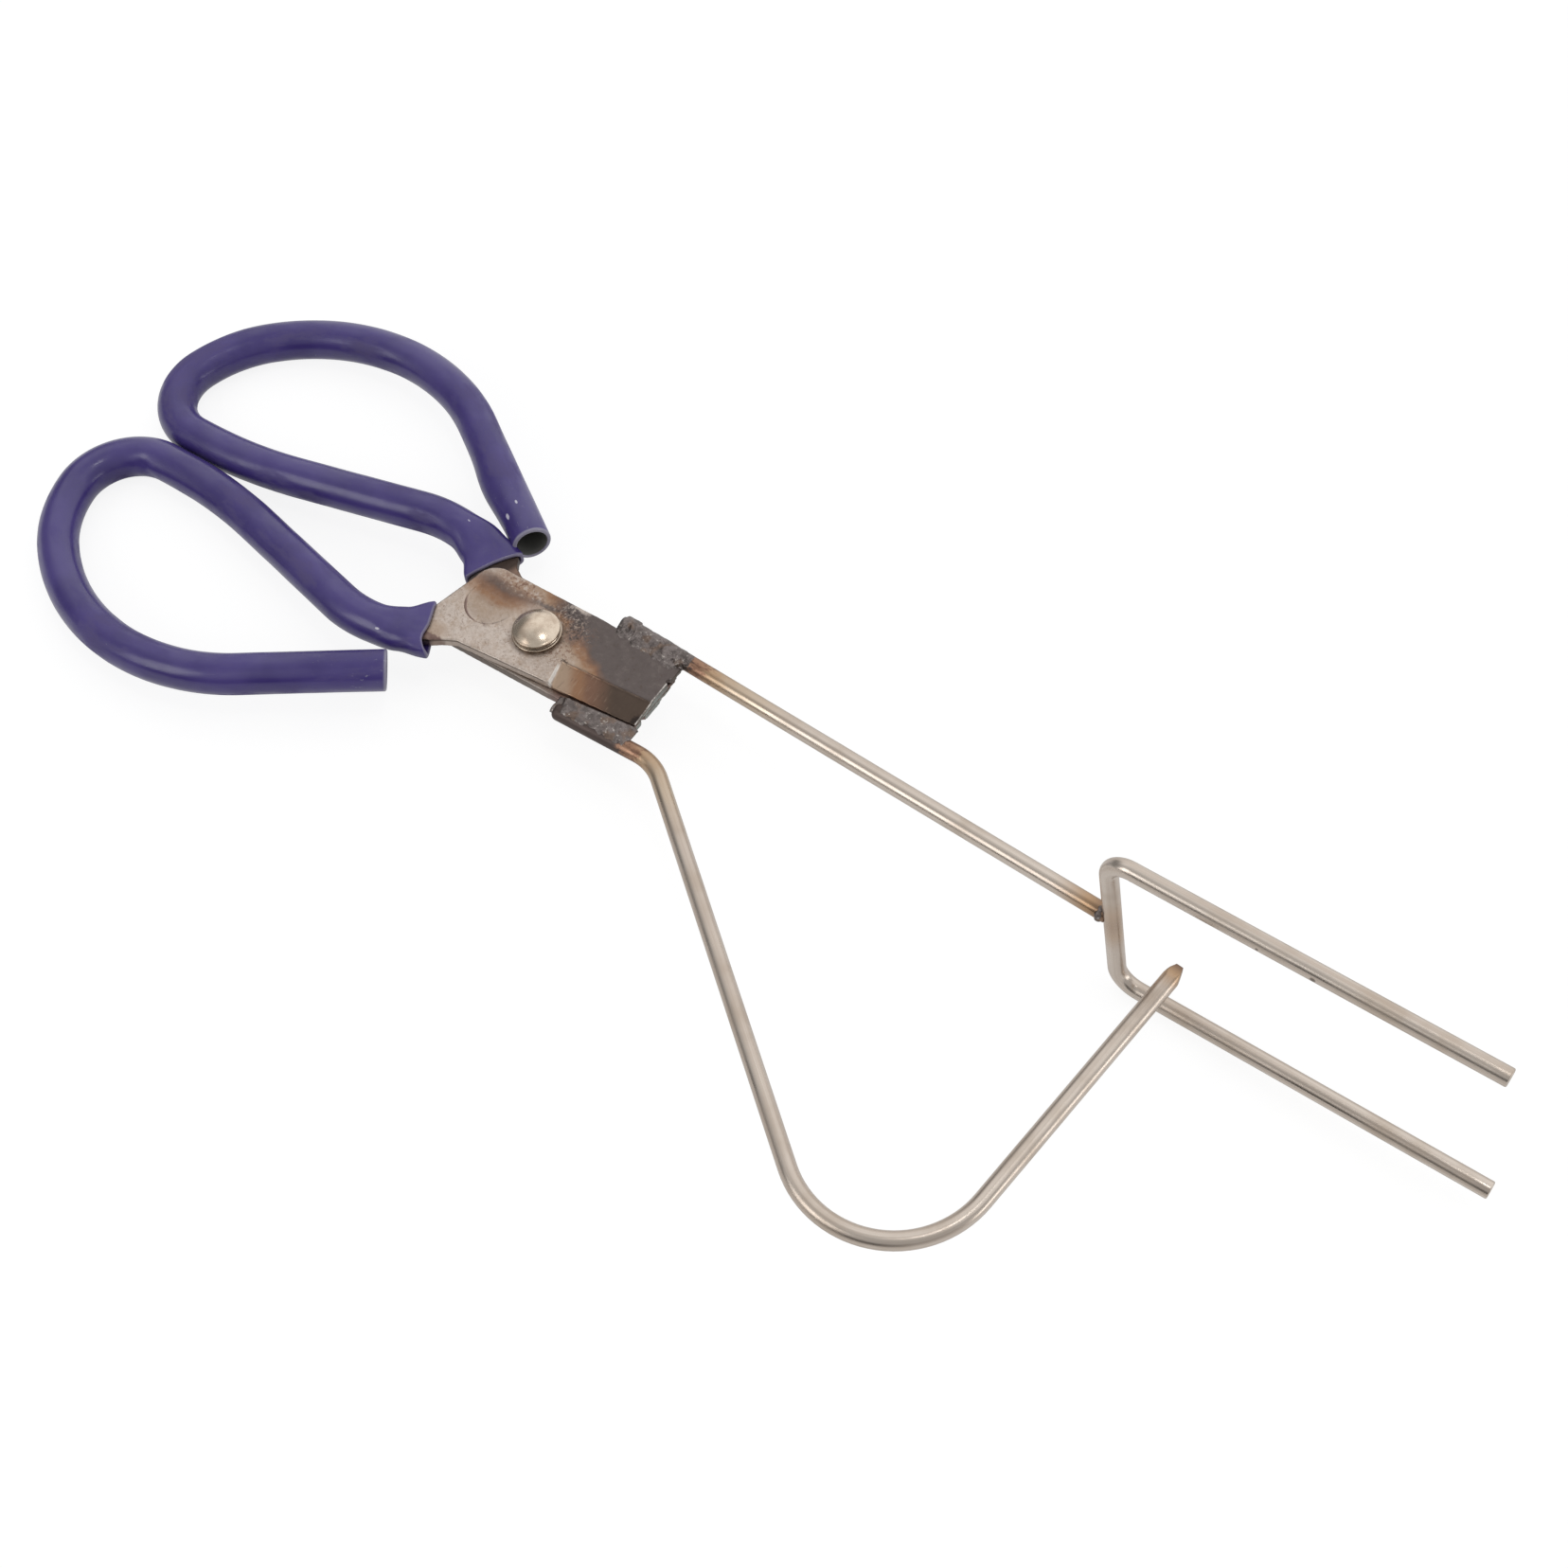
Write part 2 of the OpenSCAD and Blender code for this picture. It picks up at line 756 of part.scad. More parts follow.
module upper_seam_weld() {
    color(weld_tint)
        lie_down()
            difference() {
                seam_lump_row(upper_bead_r, root_gap + rod_r / 3, upper_form, upper_seam_l, true);
                seam_seat(upper_form, upper_seam_l);
            }
}

// Flat weld metal that runs from the lower rod over the blade to the upper blade's edge
module weld_slab() {
    start_x = cut_x - lower_seam_l + rod_r;
    translate([0, 0, -slab_t])
        linear_extrude(height = slab_t + face_z + bite)
            polygon([
                [start_x, edge_at(start_x) + seam_clear],
                [cut_x, edge_end_y + seam_clear],
                [cut_x, rod_start(lower_taper, 0)[1]],
                [start_x, back_at(start_x, lower_taper) + root_gap + rod_r]
            ]);
}

// Room for the edge of the other blade, which slides over this side of the seam
module edge_room() {
    translate([0, 0, -top_z])
        linear_extrude(height = top_z)
            polygon([
                [bevel_x, 0],
                [bevel_x, edge_y + seam_clear],
                [cut_x, edge_end_y + seam_clear],
                [cut_x + rod_d, edge_end_y + seam_clear],
                [cut_x + rod_d, 0]
            ]);
}

module lower_seam_weld() {
    color(weld_tint)
        lie_down()
            lower_half()
                difference() {
                    union() {
                        seam_lump_row(lower_bead_r, root_gap + rod_r / 2, lower_form, lower_seam_l, false);
                        weld_slab();
                    }
                    seam_seat(lower_form, lower_seam_l);
                    edge_room();
                }
}

// A ring of overlapping lumps round a rod along +X
module lump_ring(radius) {
    for (i = [0 : fork_lumps - 1])
        rotate([360 / fork_lumps * i, 0, 0])
            translate([0, rod_r - radius / 4, 0])
                sphere(r = lump_size(radius, i), $fn = coarse);
}

module fork_weld() {
    color(weld_tint)
        lie_down()
            difference() {
                at_pose(arm_start, mid_z)
                    translate([arm_l - rod_r - fork_bead_r / 2, 0, 0])
                        lump_ring(fork_bead_r);
                arm_bar();
                crossbar_only();
            }
}

upper_blade();
lower_blade();
upper_sleeve();
lower_sleeve();
pivot_rivet();
head_washer();
tail_washer();
straight_arm();
fork();
bent_arm();
upper_seam_weld();
lower_seam_weld();
fork_weld();
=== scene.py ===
import json
import math
import random

import bmesh
import bpy
from mathutils import Matrix, Vector, noise


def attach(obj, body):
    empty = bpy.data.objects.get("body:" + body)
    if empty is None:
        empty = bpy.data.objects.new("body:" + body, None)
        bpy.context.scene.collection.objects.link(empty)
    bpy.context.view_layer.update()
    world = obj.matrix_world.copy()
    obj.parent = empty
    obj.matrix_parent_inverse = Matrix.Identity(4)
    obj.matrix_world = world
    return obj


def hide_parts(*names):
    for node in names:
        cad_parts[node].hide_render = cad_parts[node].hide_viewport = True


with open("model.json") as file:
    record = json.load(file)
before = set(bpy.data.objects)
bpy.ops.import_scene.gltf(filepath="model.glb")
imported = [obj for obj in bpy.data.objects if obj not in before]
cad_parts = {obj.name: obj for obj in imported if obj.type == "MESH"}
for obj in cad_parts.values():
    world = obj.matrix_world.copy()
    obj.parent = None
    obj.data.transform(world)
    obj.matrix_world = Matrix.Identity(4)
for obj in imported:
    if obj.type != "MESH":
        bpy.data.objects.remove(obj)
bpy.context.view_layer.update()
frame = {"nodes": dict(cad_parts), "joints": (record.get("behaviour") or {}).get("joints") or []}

# Frames

# Lengths below are in millimetres, in the frame of the scissors: the pivot axis is Z, the
# working end points along +X, and the back of the upper blade lies at +Y. The matrices
# carry them into the row's frame, in metres.
MM = 0.001
hinge = frame["joints"][0]
pivot = Vector(hinge["pos_m"])
tool_z = -Vector(hinge["axis"])
tool_y = Vector((0, 1, 0))
tool_x = tool_y.cross(tool_z)
TOOL = Matrix.Translation(pivot) @ Matrix((tool_x, tool_y, tool_z)).transposed().to_4x4()
UPPER = TOOL @ Matrix.Scale(MM, 4)
LOWER = UPPER @ Matrix.Rotation(math.pi, 4, "X")
HALVES = {"upper_half": UPPER, "lower_half": LOWER}

# Sizes, in millimetres and degrees

BLADE_T = 2.5
FACE_Z = 0.05
MID_Z = FACE_Z + BLADE_T / 2
TOP_Z = FACE_Z + BLADE_T
BLADE_END_T = 1.5
BACK_Y = 11
BEVEL_X = 9
EDGE_Y = 9.9
EDGE_END_Y = 8
CUT_X = 33.6
EDGE_AIR = 0.4
NECK_CUT_X = -37
BEVEL_TOP_Y = 3.4
BEVEL_END_Y = 1.4
BEVEL_SLANT = 13
DISH_X = 14.5
DISH_Y = 1.5
DISH_R = 6.3
HEAD_R = 5.5
HEAD_RIM = 0.5
HEAD_H = 2.3
HEAD_WASHER_R = 5.8
HEAD_WASHER_T = 0.6
TAIL_R = 3.8
TAIL_H = 1.4
TAIL_WASHER_R = 5
TAIL_WASHER_T = 0.8
SHANK_R = 2.5
TAPER_X = 12.4
UPPER_TAPER = 3.5
LOWER_TAPER = 0.6

TANG_R = 3.65
BORE_R = 3.85
SLEEVE_R = 4.85
LOOP_GAP = 0.4
MOUTH_X = 22.1
NECK_W = 12.5
NECK_MID_W = 8.8
NECK_MID_T = 5
NECK_RUN = 1.6
NECK_BEND_R = 33
NECK_BEND = 21
NECK_FLARE_BEND = 21.5
SHANK_PIECES = [(NECK_BEND_R, -NECK_BEND), (33.5, 0), (120, 13)]
ROUND_PIECES = [(4.5, 0), (14.5, 103.5), (32, 33), (51, 77)]
START_HEADING = 180 + NECK_BEND - 13
UPPER_FREE_X = 25.5
LOWER_FREE_X = 18.6
TANG_SHORT = 10

ROD_R = 2
ROOT_GAP = 0.2
UPPER_SEAM_L = 18.6
LOWER_SEAM_L = 19.2
ARM_L = 132
TINE_GAP = 44.8
TINE_RISE = 21.2
TINE_L = 86.5
LEAN = 7.2
TINE_TURN = 1.4
UPPER_CORNER_R = 5
LOWER_CORNER_R = 6
LEAD_RUN = 3.6
BENT_PIECES = [(LOWER_SEAM_L + LEAD_RUN, 0), (13, 39.5), (96.5, 0), (22, -122.6), (65.5, 0)]
POINT_L = 3.6
POINT_W = 1.6


# Paths: a pose is (x, y, heading), and a piece is (length, 0) or (bend radius, turn)

def heading_of(angle):
    return Vector((math.cos(math.radians(angle)), math.sin(math.radians(angle)), 0))


def left_of(angle):
    return Vector((-math.sin(math.radians(angle)), math.cos(math.radians(angle)), 0))


def along_piece(pose, piece, distance):
    """The pose after some distance along a piece."""
    x, y, heading = pose
    size, turn = piece
    if turn == 0:
        step = heading_of(heading) * distance
        return (x + step.x, y + step.y, heading)
    side = math.copysign(1, turn)
    turned = side * math.degrees(distance / size)
    step = (left_of(heading) - left_of(heading + turned)) * size * side
    return (x + step.x, y + step.y, heading + turned)


def piece_length(piece):
    size, turn = piece
    return size if turn == 0 else size * math.radians(abs(turn))


def after(pose, pieces):
    for piece in pieces:
        pose = along_piece(pose, piece, piece_length(piece))
    return pose


def follow(pose, pieces, step, bend_step=4):
    """Stations (distance, pose) along a path, closer together on the bends."""
    stations = [(0, pose)]
    travelled = 0
    for piece in pieces:
        length = piece_length(piece)
        pitch = step if piece[1] == 0 else min(step, math.radians(bend_step) * piece[0])
        count = max(1, math.ceil(length / pitch))
        for i in range(1, count + 1):
            stations.append((travelled + length * i / count, along_piece(pose, piece, length * i / count)))
        pose = along_piece(pose, piece, length)
        travelled += length
    return stations


def back_at(x, taper):
    return BACK_Y - (x - TAPER_X) * math.tan(math.radians(taper))


def edge_at(x):
    """Distance of the upper blade's cutting edge from the pivot line."""
    return EDGE_Y - (EDGE_Y - EDGE_END_Y) * (x - BEVEL_X) / (CUT_X - BEVEL_X)


def top_at(x):
    """Height of the outer face, which slopes down towards the cut end."""
    return TOP_Z - (BLADE_T - BLADE_END_T) * max(0, x - BEVEL_X) / (CUT_X - BEVEL_X)


def rod_start(taper, seam):
    x = CUT_X - seam
    return (x, back_at(x, taper) + (ROD_R + ROOT_GAP) / math.cos(math.radians(taper)), -taper)


# Loop, set so that the two loops nearly touch and the mouth lies at its distance
half_flare = (NECK_BEND_R, NECK_FLARE_BEND / 2)
flare_end = after((0, 0, START_HEADING - 180), [half_flare, half_flare, (NECK_RUN, 0)])
touch_end = after((0, 0, START_HEADING), SHANK_PIECES)
TANG_START = (-MOUTH_X - flare_end[0], -SLEEVE_R - LOOP_GAP / 2 - touch_end[1], START_HEADING)
NECK_START = (TANG_START[0], TANG_START[1], START_HEADING - 180)
MOUTH = after(NECK_START, [half_flare, half_flare, (NECK_RUN, 0)])
FLARE_L = 2 * piece_length(half_flare) + NECK_RUN


def loop_pieces(free_x):
    end = after(TANG_START, SHANK_PIECES + ROUND_PIECES)
    tail = (-free_x - end[0]) / math.cos(math.radians(end[2]))
    return SHANK_PIECES + ROUND_PIECES + [(tail, 0)]


# Meshes

def make_object(name, mesh, body, slot, material, *replaced):
    piece = bpy.data.objects.new(name, mesh)
    bpy.context.collection.objects.link(piece)
    mesh.materials.clear()
    mesh.materials.append(material)
    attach(piece, body)
    if replaced:
        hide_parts(*replaced)
    return piece


def store_vectors(mesh, name, vectors):
    layer = mesh.attributes.new(name, "FLOAT_VECTOR", "POINT")
    for i, vector in enumerate(vectors):
        layer.data[i].vector = vector


def ring_mesh(name, rings, place, unbent, capped=True, closed_loop=False):
    """A skin over rings of points. unbent holds each point's place on the straightened piece."""
    size = len(rings[0])
    points = [place @ point for ring in rings for point in ring]
    faces = []
    last = len(rings) if closed_loop else len(rings) - 1
    for i in range(last):
        low, high = i * size, (i + 1) % len(rings) * size
        for j in range(size):
            k = (j + 1) % size
            faces.append((low + j, low + k, high + k, high + j))
    if capped:
        faces.append(tuple(reversed(range(size))))
        faces.append(tuple(range(len(points) - size, len(points))))
    mesh = bpy.data.meshes.new(name)
    mesh.from_pydata(points, [], faces)
    mesh.validate()
    fix_normals(mesh)
    mesh.polygons.foreach_set("use_smooth", [True] * len(mesh.polygons))
    store_vectors(mesh, "unbent", [vector for ring in unbent for vector in ring])
    return mesh


def fix_normals(mesh):
    work = bmesh.new()
    work.from_mesh(mesh)
    bmesh.ops.recalc_face_normals(work, faces=work.faces)
    work.to_mesh(mesh)
    work.free()


def round_section(radius, segments):
    return [
        (radius * math.cos(2 * math.pi * i / segments), radius * math.sin(2 * math.pi * i / segments))
        for i in range(segments)
    ]


def swept(name, stations, section, place, lift=lambda s: 0, capped=True):
    """A skin swept along stations. section(s) gives (across, up) pairs at distance s."""
    rings, unbent = [], []
    for distance, (x, y, heading) in stations:
        centre = Vector((x, y, lift(distance)))
        side = left_of(heading)
        pairs = section(distance)
        rings.append([centre + side * across + Vector((0, 0, up)) for across, up in pairs])
        unbent.append([Vector((distance, across, up)) for across, up in pairs])
    return ring_mesh(name, rings, place, unbent, capped)


def with_end_stations(stations, insets):
    """Adds stations just inside both ends, for the rounded rims."""
    total = stations[-1][0]
    first, last = stations[0][1], stations[-1][1]
    head = [(d, along_piece(first, (1, 0), d)) for d in insets]
    tail = [(total - d, along_piece(last, (1, 0), -d)) for d in reversed(insets)]
    middle = [s for s in stations[1:-1] if max(insets) < s[0] < total - max(insets)]
    return [stations[0]] + head + middle + tail + [stations[-1]]


# Materials

# A length that flattens whatever is divided by it
FAR = 1e6


class Graph:
    """A small helper that adds nodes to one node tree."""

    def __init__(self, tree):
        self.nodes = tree.nodes
        self.links = tree.links

    def put(self, socket, value):
        if isinstance(value, bpy.types.NodeSocket):
            self.links.new(value, socket)
        else:
            socket.default_value = value

    def stretch(self, vector, scale):
        node = self.nodes.new("ShaderNodeMapping")
        node.inputs["Scale"].default_value = scale
        self.links.new(vector, node.inputs["Vector"])
        return node.outputs["Vector"]

    def noise(self, vector, scale, detail=3, rough=0.5, distortion=0):
        node = self.nodes.new("ShaderNodeTexNoise")
        node.inputs["Scale"].default_value = scale
        node.inputs["Detail"].default_value = detail
        node.inputs["Roughness"].default_value = rough
        node.inputs["Distortion"].default_value = distortion
        self.links.new(vector, node.inputs["Vector"])
        return node.outputs["Fac"]

    def math(self, operation, first, second=0.0, clamp=False):
        node = self.nodes.new("ShaderNodeMath")
        node.operation = operation
        node.use_clamp = clamp
        self.put(node.inputs[0], first)
        self.put(node.inputs[1], second)
        return node.outputs[0]

    def remap(self, value, low, high, out_low=0.0, out_high=1.0):
        node = self.nodes.new("ShaderNodeMapRange")
        node.interpolation_type = "SMOOTHSTEP"
        self.put(node.inputs["Value"], value)
        node.inputs["From Min"].default_value = low
        node.inputs["From Max"].default_value = high
        node.inputs["To Min"].default_value = out_low
        node.inputs["To Max"].default_value = out_high
        return node.outputs["Result"]

    def window(self, value, low, high, soft):
        """1 between low and high, fading to 0 over the distance soft outside them."""
        return self.math("MULTIPLY", self.remap(value, low - soft, low), self.remap(value, high + soft, high))

    def axis(self, vector, index):
        node = self.nodes.new("ShaderNodeSeparateXYZ")
        self.links.new(vector, node.inputs[0])
        return node.outputs[index]

    def vector_math(self, operation, *values):
        node = self.nodes.new("ShaderNodeVectorMath")
        node.operation = operation
        for socket, value in zip(node.inputs, values):
            self.put(socket, value)
        return node

    def distance(self, vector, centre):
        return self.vector_math("DISTANCE", vector, centre).outputs["Value"]

    def dot(self, vector, direction):
        return self.vector_math("DOT_PRODUCT", vector, direction).outputs["Value"]

    def warp(self, vector, scale, amount):
        """The vector moved about by soft noise, by up to about the amount."""
        node = self.nodes.new("ShaderNodeTexNoise")
        node.inputs["Scale"].default_value = scale
        node.inputs["Detail"].default_value = 2
        self.links.new(vector, node.inputs["Vector"])
        middle = self.vector_math("SUBTRACT", node.outputs["Color"], (0.5, 0.5, 0.5)).outputs[0]
        return self.vector_math("MULTIPLY_ADD", middle, [2 * amount] * 3, vector).outputs[0]

    def turned(self, vector, degrees):
        node = self.nodes.new("ShaderNodeMapping")
        node.inputs["Rotation"].default_value = (0, 0, math.radians(degrees))
        self.links.new(vector, node.inputs["Vector"])
        return node.outputs["Vector"]

    def patch(self, vector, centre, radii, soft=0.4, turn=0):
        """1 inside an ellipse seen from above, fading to 0 over the share soft of its radii."""
        node = self.nodes.new("ShaderNodeMapping")
        node.vector_type = "TEXTURE"
        node.inputs["Location"].default_value = (*centre, 0)
        node.inputs["Rotation"].default_value = (0, 0, math.radians(turn))
        node.inputs["Scale"].default_value = (*radii, FAR)
        self.links.new(vector, node.inputs["Vector"])
        reach = self.vector_math("LENGTH", node.outputs["Vector"]).outputs["Value"]
        return self.remap(reach, 1 + soft, 1 - soft)

    def mix(self, factor, first, second):
        node = self.nodes.new("ShaderNodeMix")
        node.data_type = "RGBA"
        self.put(node.inputs["Factor"], factor)
        for socket, value in ((node.inputs[6], first), (node.inputs[7], second)):
            self.put(socket, value if isinstance(value, bpy.types.NodeSocket) else (*value, 1))
        return node.outputs[2]

    def sum(self, *values):
        total = values[0]
        for value in values[1:]:
            total = self.math("ADD", total, value)
        return total

    def times(self, *values):
        total = values[0]
        for value in values[1:]:
            total = self.math("MULTIPLY", total, value)
        return total


class Shader(Graph):
    """The nodes of one material."""

    def __init__(self, name):
        self.material = bpy.data.materials.new(name)
        self.material.use_nodes = True
        super().__init__(self.material.node_tree)
        self.bsdf = self.nodes["Principled BSDF"]

    def set(self, **values):
        for name, value in values.items():
            self.put(self.bsdf.inputs[name.replace("_", " ")], value)

    def unbent(self):
        node = self.nodes.new("ShaderNodeAttribute")
        node.attribute_name = "unbent"
        return node.outputs["Vector"]

    def place(self):
        """The point on the object at rest, in millimetres, in the frame of the scissors."""
        point = self.nodes.new("ShaderNodeTexCoord").outputs["Object"]
        node = self.nodes.new("ShaderNodeMapping")
        node.vector_type = "TEXTURE"
        node.inputs["Location"].default_value = pivot
        node.inputs["Rotation"].default_value = TOOL.to_euler()
        node.inputs["Scale"].default_value = (MM, MM, MM)
        self.links.new(point, node.inputs["Vector"])
        return node.outputs["Vector"]

    def bump(self, *layers):
        """Each layer is (height, distance in mm, strength)."""
        normal = None
        for height, distance, strength in layers:
            node = self.nodes.new("ShaderNodeBump")
            node.inputs["Distance"].default_value = distance * MM
            node.inputs["Strength"].default_value = strength
            self.links.new(height, node.inputs["Height"])
            if normal:
                self.links.new(normal, node.inputs["Normal"])
            normal = node.outputs["Normal"]
        self.links.new(normal, self.bsdf.inputs["Normal"])


# Colours of the metals, as they are under white light
STEEL = (0.535, 0.452, 0.392)
STEEL_WORN = (0.64, 0.56, 0.50)
STEEL_DULL = (0.40, 0.325, 0.272)
TAN = (0.37, 0.25, 0.18)
STRAW = (0.41, 0.30, 0.22)
ORANGE = (0.31, 0.175, 0.105)
BROWN = (0.215, 0.125, 0.088)
PURPLE = (0.19, 0.125, 0.11)
SOOT = (0.135, 0.112, 0.106)
ASH = (0.195, 0.165, 0.15)
UMBER = (0.10, 0.073, 0.058)
BLACK = (0.035, 0.028, 0.026)
BRIGHT = (0.80, 0.76, 0.71)
END_GREY = (0.30, 0.32, 0.295)


def specks(shader, vector, scale, low, high):
    """Scattered small specks."""
    return shader.remap(shader.noise(vector, scale, detail=2, rough=0.6), low, high)


def worn_steel(shader, place):
    """Ground blade steel: mottled, with faint slanting grind lines and a little grit."""
    mottle = shader.noise(place, 0.55, detail=6, rough=0.65)
    colour = shader.mix(shader.remap(mottle, 0.35, 0.68), STEEL, STEEL_WORN)
    dull = shader.noise(place, 0.16, detail=3, rough=0.5)
    colour = shader.mix(shader.remap(dull, 0.45, 0.68, 0, 0.6), colour, STEEL_DULL)
    smudge = shader.noise(shader.warp(place, 0.5, 1.2), 0.42, detail=6, rough=0.75)
    colour = shader.mix(shader.remap(smudge, 0.48, 0.64, 0, 0.6), colour, STRAW)
    colour = shader.mix(shader.remap(smudge, 0.44, 0.32, 0, 0.45), colour, STEEL_WORN)
    lines = shader.noise(shader.stretch(shader.turned(place, 42), (0.2, 2.2, 1)), 1, detail=5, rough=0.65)
    colour = shader.mix(shader.remap(lines, 0.46, 0.3, 0, 0.55), colour, STEEL_DULL)
    colour = shader.mix(shader.remap(lines, 0.54, 0.68, 0, 0.5), colour, STEEL_WORN)
    grain = shader.noise(place, 1.3, detail=5, rough=0.8)
    colour = shader.mix(shader.remap(grain, 0.48, 0.38, 0, 0.7), colour, STEEL_DULL)
    colour = shader.mix(shader.remap(grain, 0.52, 0.62, 0, 0.7), colour, STEEL_WORN)
    colour = shader.mix(shader.times(specks(shader, place, 1.7, 0.62, 0.71), 0.6), colour, BROWN)
    return colour, mottle, lines


def upper_stains_and_shade(shader, place, colour):
    """What the welder's heat and the hands of users left on the upper blade, and painted shade round the washer,
    along the bevel's top, on the dish's rim and at a dint, and on the neck's facet.
    """
    loose = shader.warp(shader.warp(place, 0.22, 1.4), 1.1, 0.5)
    frayed = shader.warp(loose, 2.6, 0.35)
    x, y, z = (shader.axis(place, i) for i in range(3))
    blotch = shader.noise(place, 0.75, detail=5, rough=0.7)
    patchy = shader.remap(blotch, 0.36, 0.6)

    # Handling stain behind the rivet, dark above and straw below
    straw = shader.patch(frayed, (-14.4, 1.2), (7.4, 4.6), 0.5)
    colour = shader.mix(shader.times(straw, 0.6), colour, STRAW)
    orange = shader.patch(frayed, (-15.4, 4.0), (8.8, 2.5), 0.55)
    colour = shader.mix(shader.times(orange, shader.remap(blotch, 0.3, 0.6, 0.65, 0.95)), colour, ORANGE)
    brown = shader.patch(loose, (-14.0, 6.2), (9.4, 1.9), 0.6)
    colour = shader.mix(shader.times(brown, 0.9), colour, BROWN)
    grey = shader.patch(loose, (-13.4, 6.7), (6.5, 1.1), 0.8)
    colour = shader.mix(shader.times(grey, shader.remap(blotch, 0.3, 0.6, 0.5, 0.85)), colour, SOOT)

    # Tan stain along the back
    band = shader.patch(frayed, (-5.0, 9.3), (12.5, 3.0), 0.4)
    colour = shader.mix(shader.times(band, shader.remap(blotch, 0.34, 0.6, 0.5, 0.95)), colour, TAN)
    flecks = specks(shader, place, 1.3, 0.50, 0.62)
    colour = shader.mix(shader.times(band, flecks, 0.85), colour, BROWN)
    sparks = specks(shader, shader.warp(place, 1.5, 0.4), 1.0, 0.55, 0.63)
    colour = shader.mix(shader.times(band, sparks, 0.8), colour, STEEL)

    # Heat of the weld, from straw through orange to soot
    heat = shader.dot(loose, (1, 1.6, 0))
    over = shader.remap(y, -4.2, -2.6)
    warmed = shader.times(shader.remap(heat, -2.0, 9.0), shader.remap(x, 2.0, 7.0))
    colour = shader.mix(shader.times(warmed, shader.remap(blotch, 0.32, 0.6, 0.25, 0.75)), colour, STRAW)
    near = shader.times(shader.remap(heat, 6.5, 11.5), over)
    colour = shader.mix(shader.times(near, 0.8), colour, STRAW)
    fringe = shader.times(shader.remap(heat, 9.6, 13.2), over)
    colour = shader.mix(shader.times(fringe, shader.remap(blotch, 0.3, 0.62, 0.6, 1)), colour, ORANGE)
    scorch = shader.times(shader.remap(heat, 12.6, 16.0), over)
    colour = shader.mix(shader.times(scorch, 0.85), colour, BROWN)
    sooty = shader.times(shader.remap(heat, 14.2, 18.8), over)
    colour = shader.mix(sooty, colour, SOOT)
    ashen = shader.noise(shader.warp(place, 0.6, 1), 0.5, detail=6, rough=0.75)
    colour = shader.mix(shader.times(sooty, shader.remap(ashen, 0.5, 0.68, 0, 0.5)), colour, ASH)
    colour = shader.mix(shader.times(sooty, shader.remap(ashen, 0.45, 0.3, 0, 0.5)), colour, UMBER)

    # Dark spatter from the weld back to the rivet
    smear = shader.patch(frayed, (4.8, 8.2), (6.2, 1.7), 0.4, -10)
    smear = shader.math("MAXIMUM", smear, shader.patch(frayed, (7.3, 5.0), (1.9, 4.0), 0.5, 20))
    smear = shader.math("MAXIMUM", smear, shader.patch(frayed, (-1.2, 7.6), (5.2, 0.9), 0.7, 8))
    colour = shader.mix(shader.times(smear, shader.remap(blotch, 0.34, 0.56, 0.35, 0.9)), colour, SOOT)
    back_patch = shader.patch(frayed, (4.6, 10.5), (2.3, 0.75), 0.4)
    colour = shader.mix(shader.times(back_patch, 0.8), colour, STEEL_WORN)
    grain = shader.noise(place, 1.25, detail=4, rough=0.75)
    trail = shader.patch(loose, (4.8, 5.8), (6.2, 3.9), 0.4, -42)
    colour = shader.mix(shader.times(trail, shader.remap(grain, 0.53, 0.60), 0.7), colour, STEEL)
    colour = shader.mix(shader.times(trail, shader.remap(grain, 0.46, 0.40), 0.6), colour, BLACK)
    peppered = shader.patch(loose, (7.5, 0.5), (4.2, 6.5), 0.6, -20)
    colour = shader.mix(shader.times(peppered, shader.remap(grain, 0.50, 0.58), 0.8), colour, BROWN)
    pale = shader.remap(shader.noise(place, 1.0, detail=4, rough=0.8), 0.60, 0.68)
    colour = shader.mix(shader.times(peppered, pale, 0.6), colour, STEEL_WORN)

    # Painted shadow round the washer on the face, darker on the side of the blades
    from_pivot = shader.distance(shader.stretch(place, (1, 1, 0)), (0, 0, 0))
    thick = shader.remap(shader.dot(loose, (0.8, -0.5, 0)), -5, 5, 0.25, 0.85)
    washer_shadow = shader.remap(from_pivot, HEAD_WASHER_R + 1.5, HEAD_WASHER_R + 0.1)
    colour = shader.mix(shader.times(washer_shadow, thick, shader.remap(blotch, 0.3, 0.6, 0.5, 1)), colour, UMBER)

    # Ground bevel, which took the heat in bands across it
    rise = (BEVEL_TOP_Y - BEVEL_END_Y) / (CUT_X - BEVEL_X)
    below = shader.math("SUBTRACT", shader.dot(place, (rise, -1, 0)), BEVEL_TOP_Y + rise * BEVEL_X)
    slant = math.tan(math.radians(BEVEL_SLANT))
    past_start = shader.math("ADD", shader.dot(place, (1, slant, 0)), slant * BEVEL_TOP_Y - BEVEL_X)
    bevel = shader.times(shader.remap(below, -0.1, 0.15), shader.remap(past_start, 0.6, 1.0))
    bands = shader.warp(shader.stretch(place, (1, 0.25, 1)), 0.5, 0.9)
    reach = shader.sum(shader.axis(bands, 0), shader.math("MULTIPLY", y, 0.55), 1.65)
    streaks = shader.noise(shader.stretch(place, (1.6, 0.22, 1)), 1, detail=4, rough=0.6)
    ground = shader.mix(shader.remap(reach, 10.5, 14.5), STRAW, ORANGE)
    ground = shader.mix(shader.remap(reach, 14.8, 17.8), ground, BROWN)
    ground = shader.mix(shader.remap(reach, 17.5, 25), ground, UMBER)
    ground = shader.mix(shader.remap(streaks, 0.55, 0.72, 0, 0.4), ground, STRAW)
    ground = shader.mix(shader.remap(streaks, 0.42, 0.3, 0, 0.45), ground, UMBER)
    ground = shader.mix(shader.remap(reach, 22, 27, 0, 0.9), ground, UMBER)
    colour = shader.mix(bevel, colour, ground)
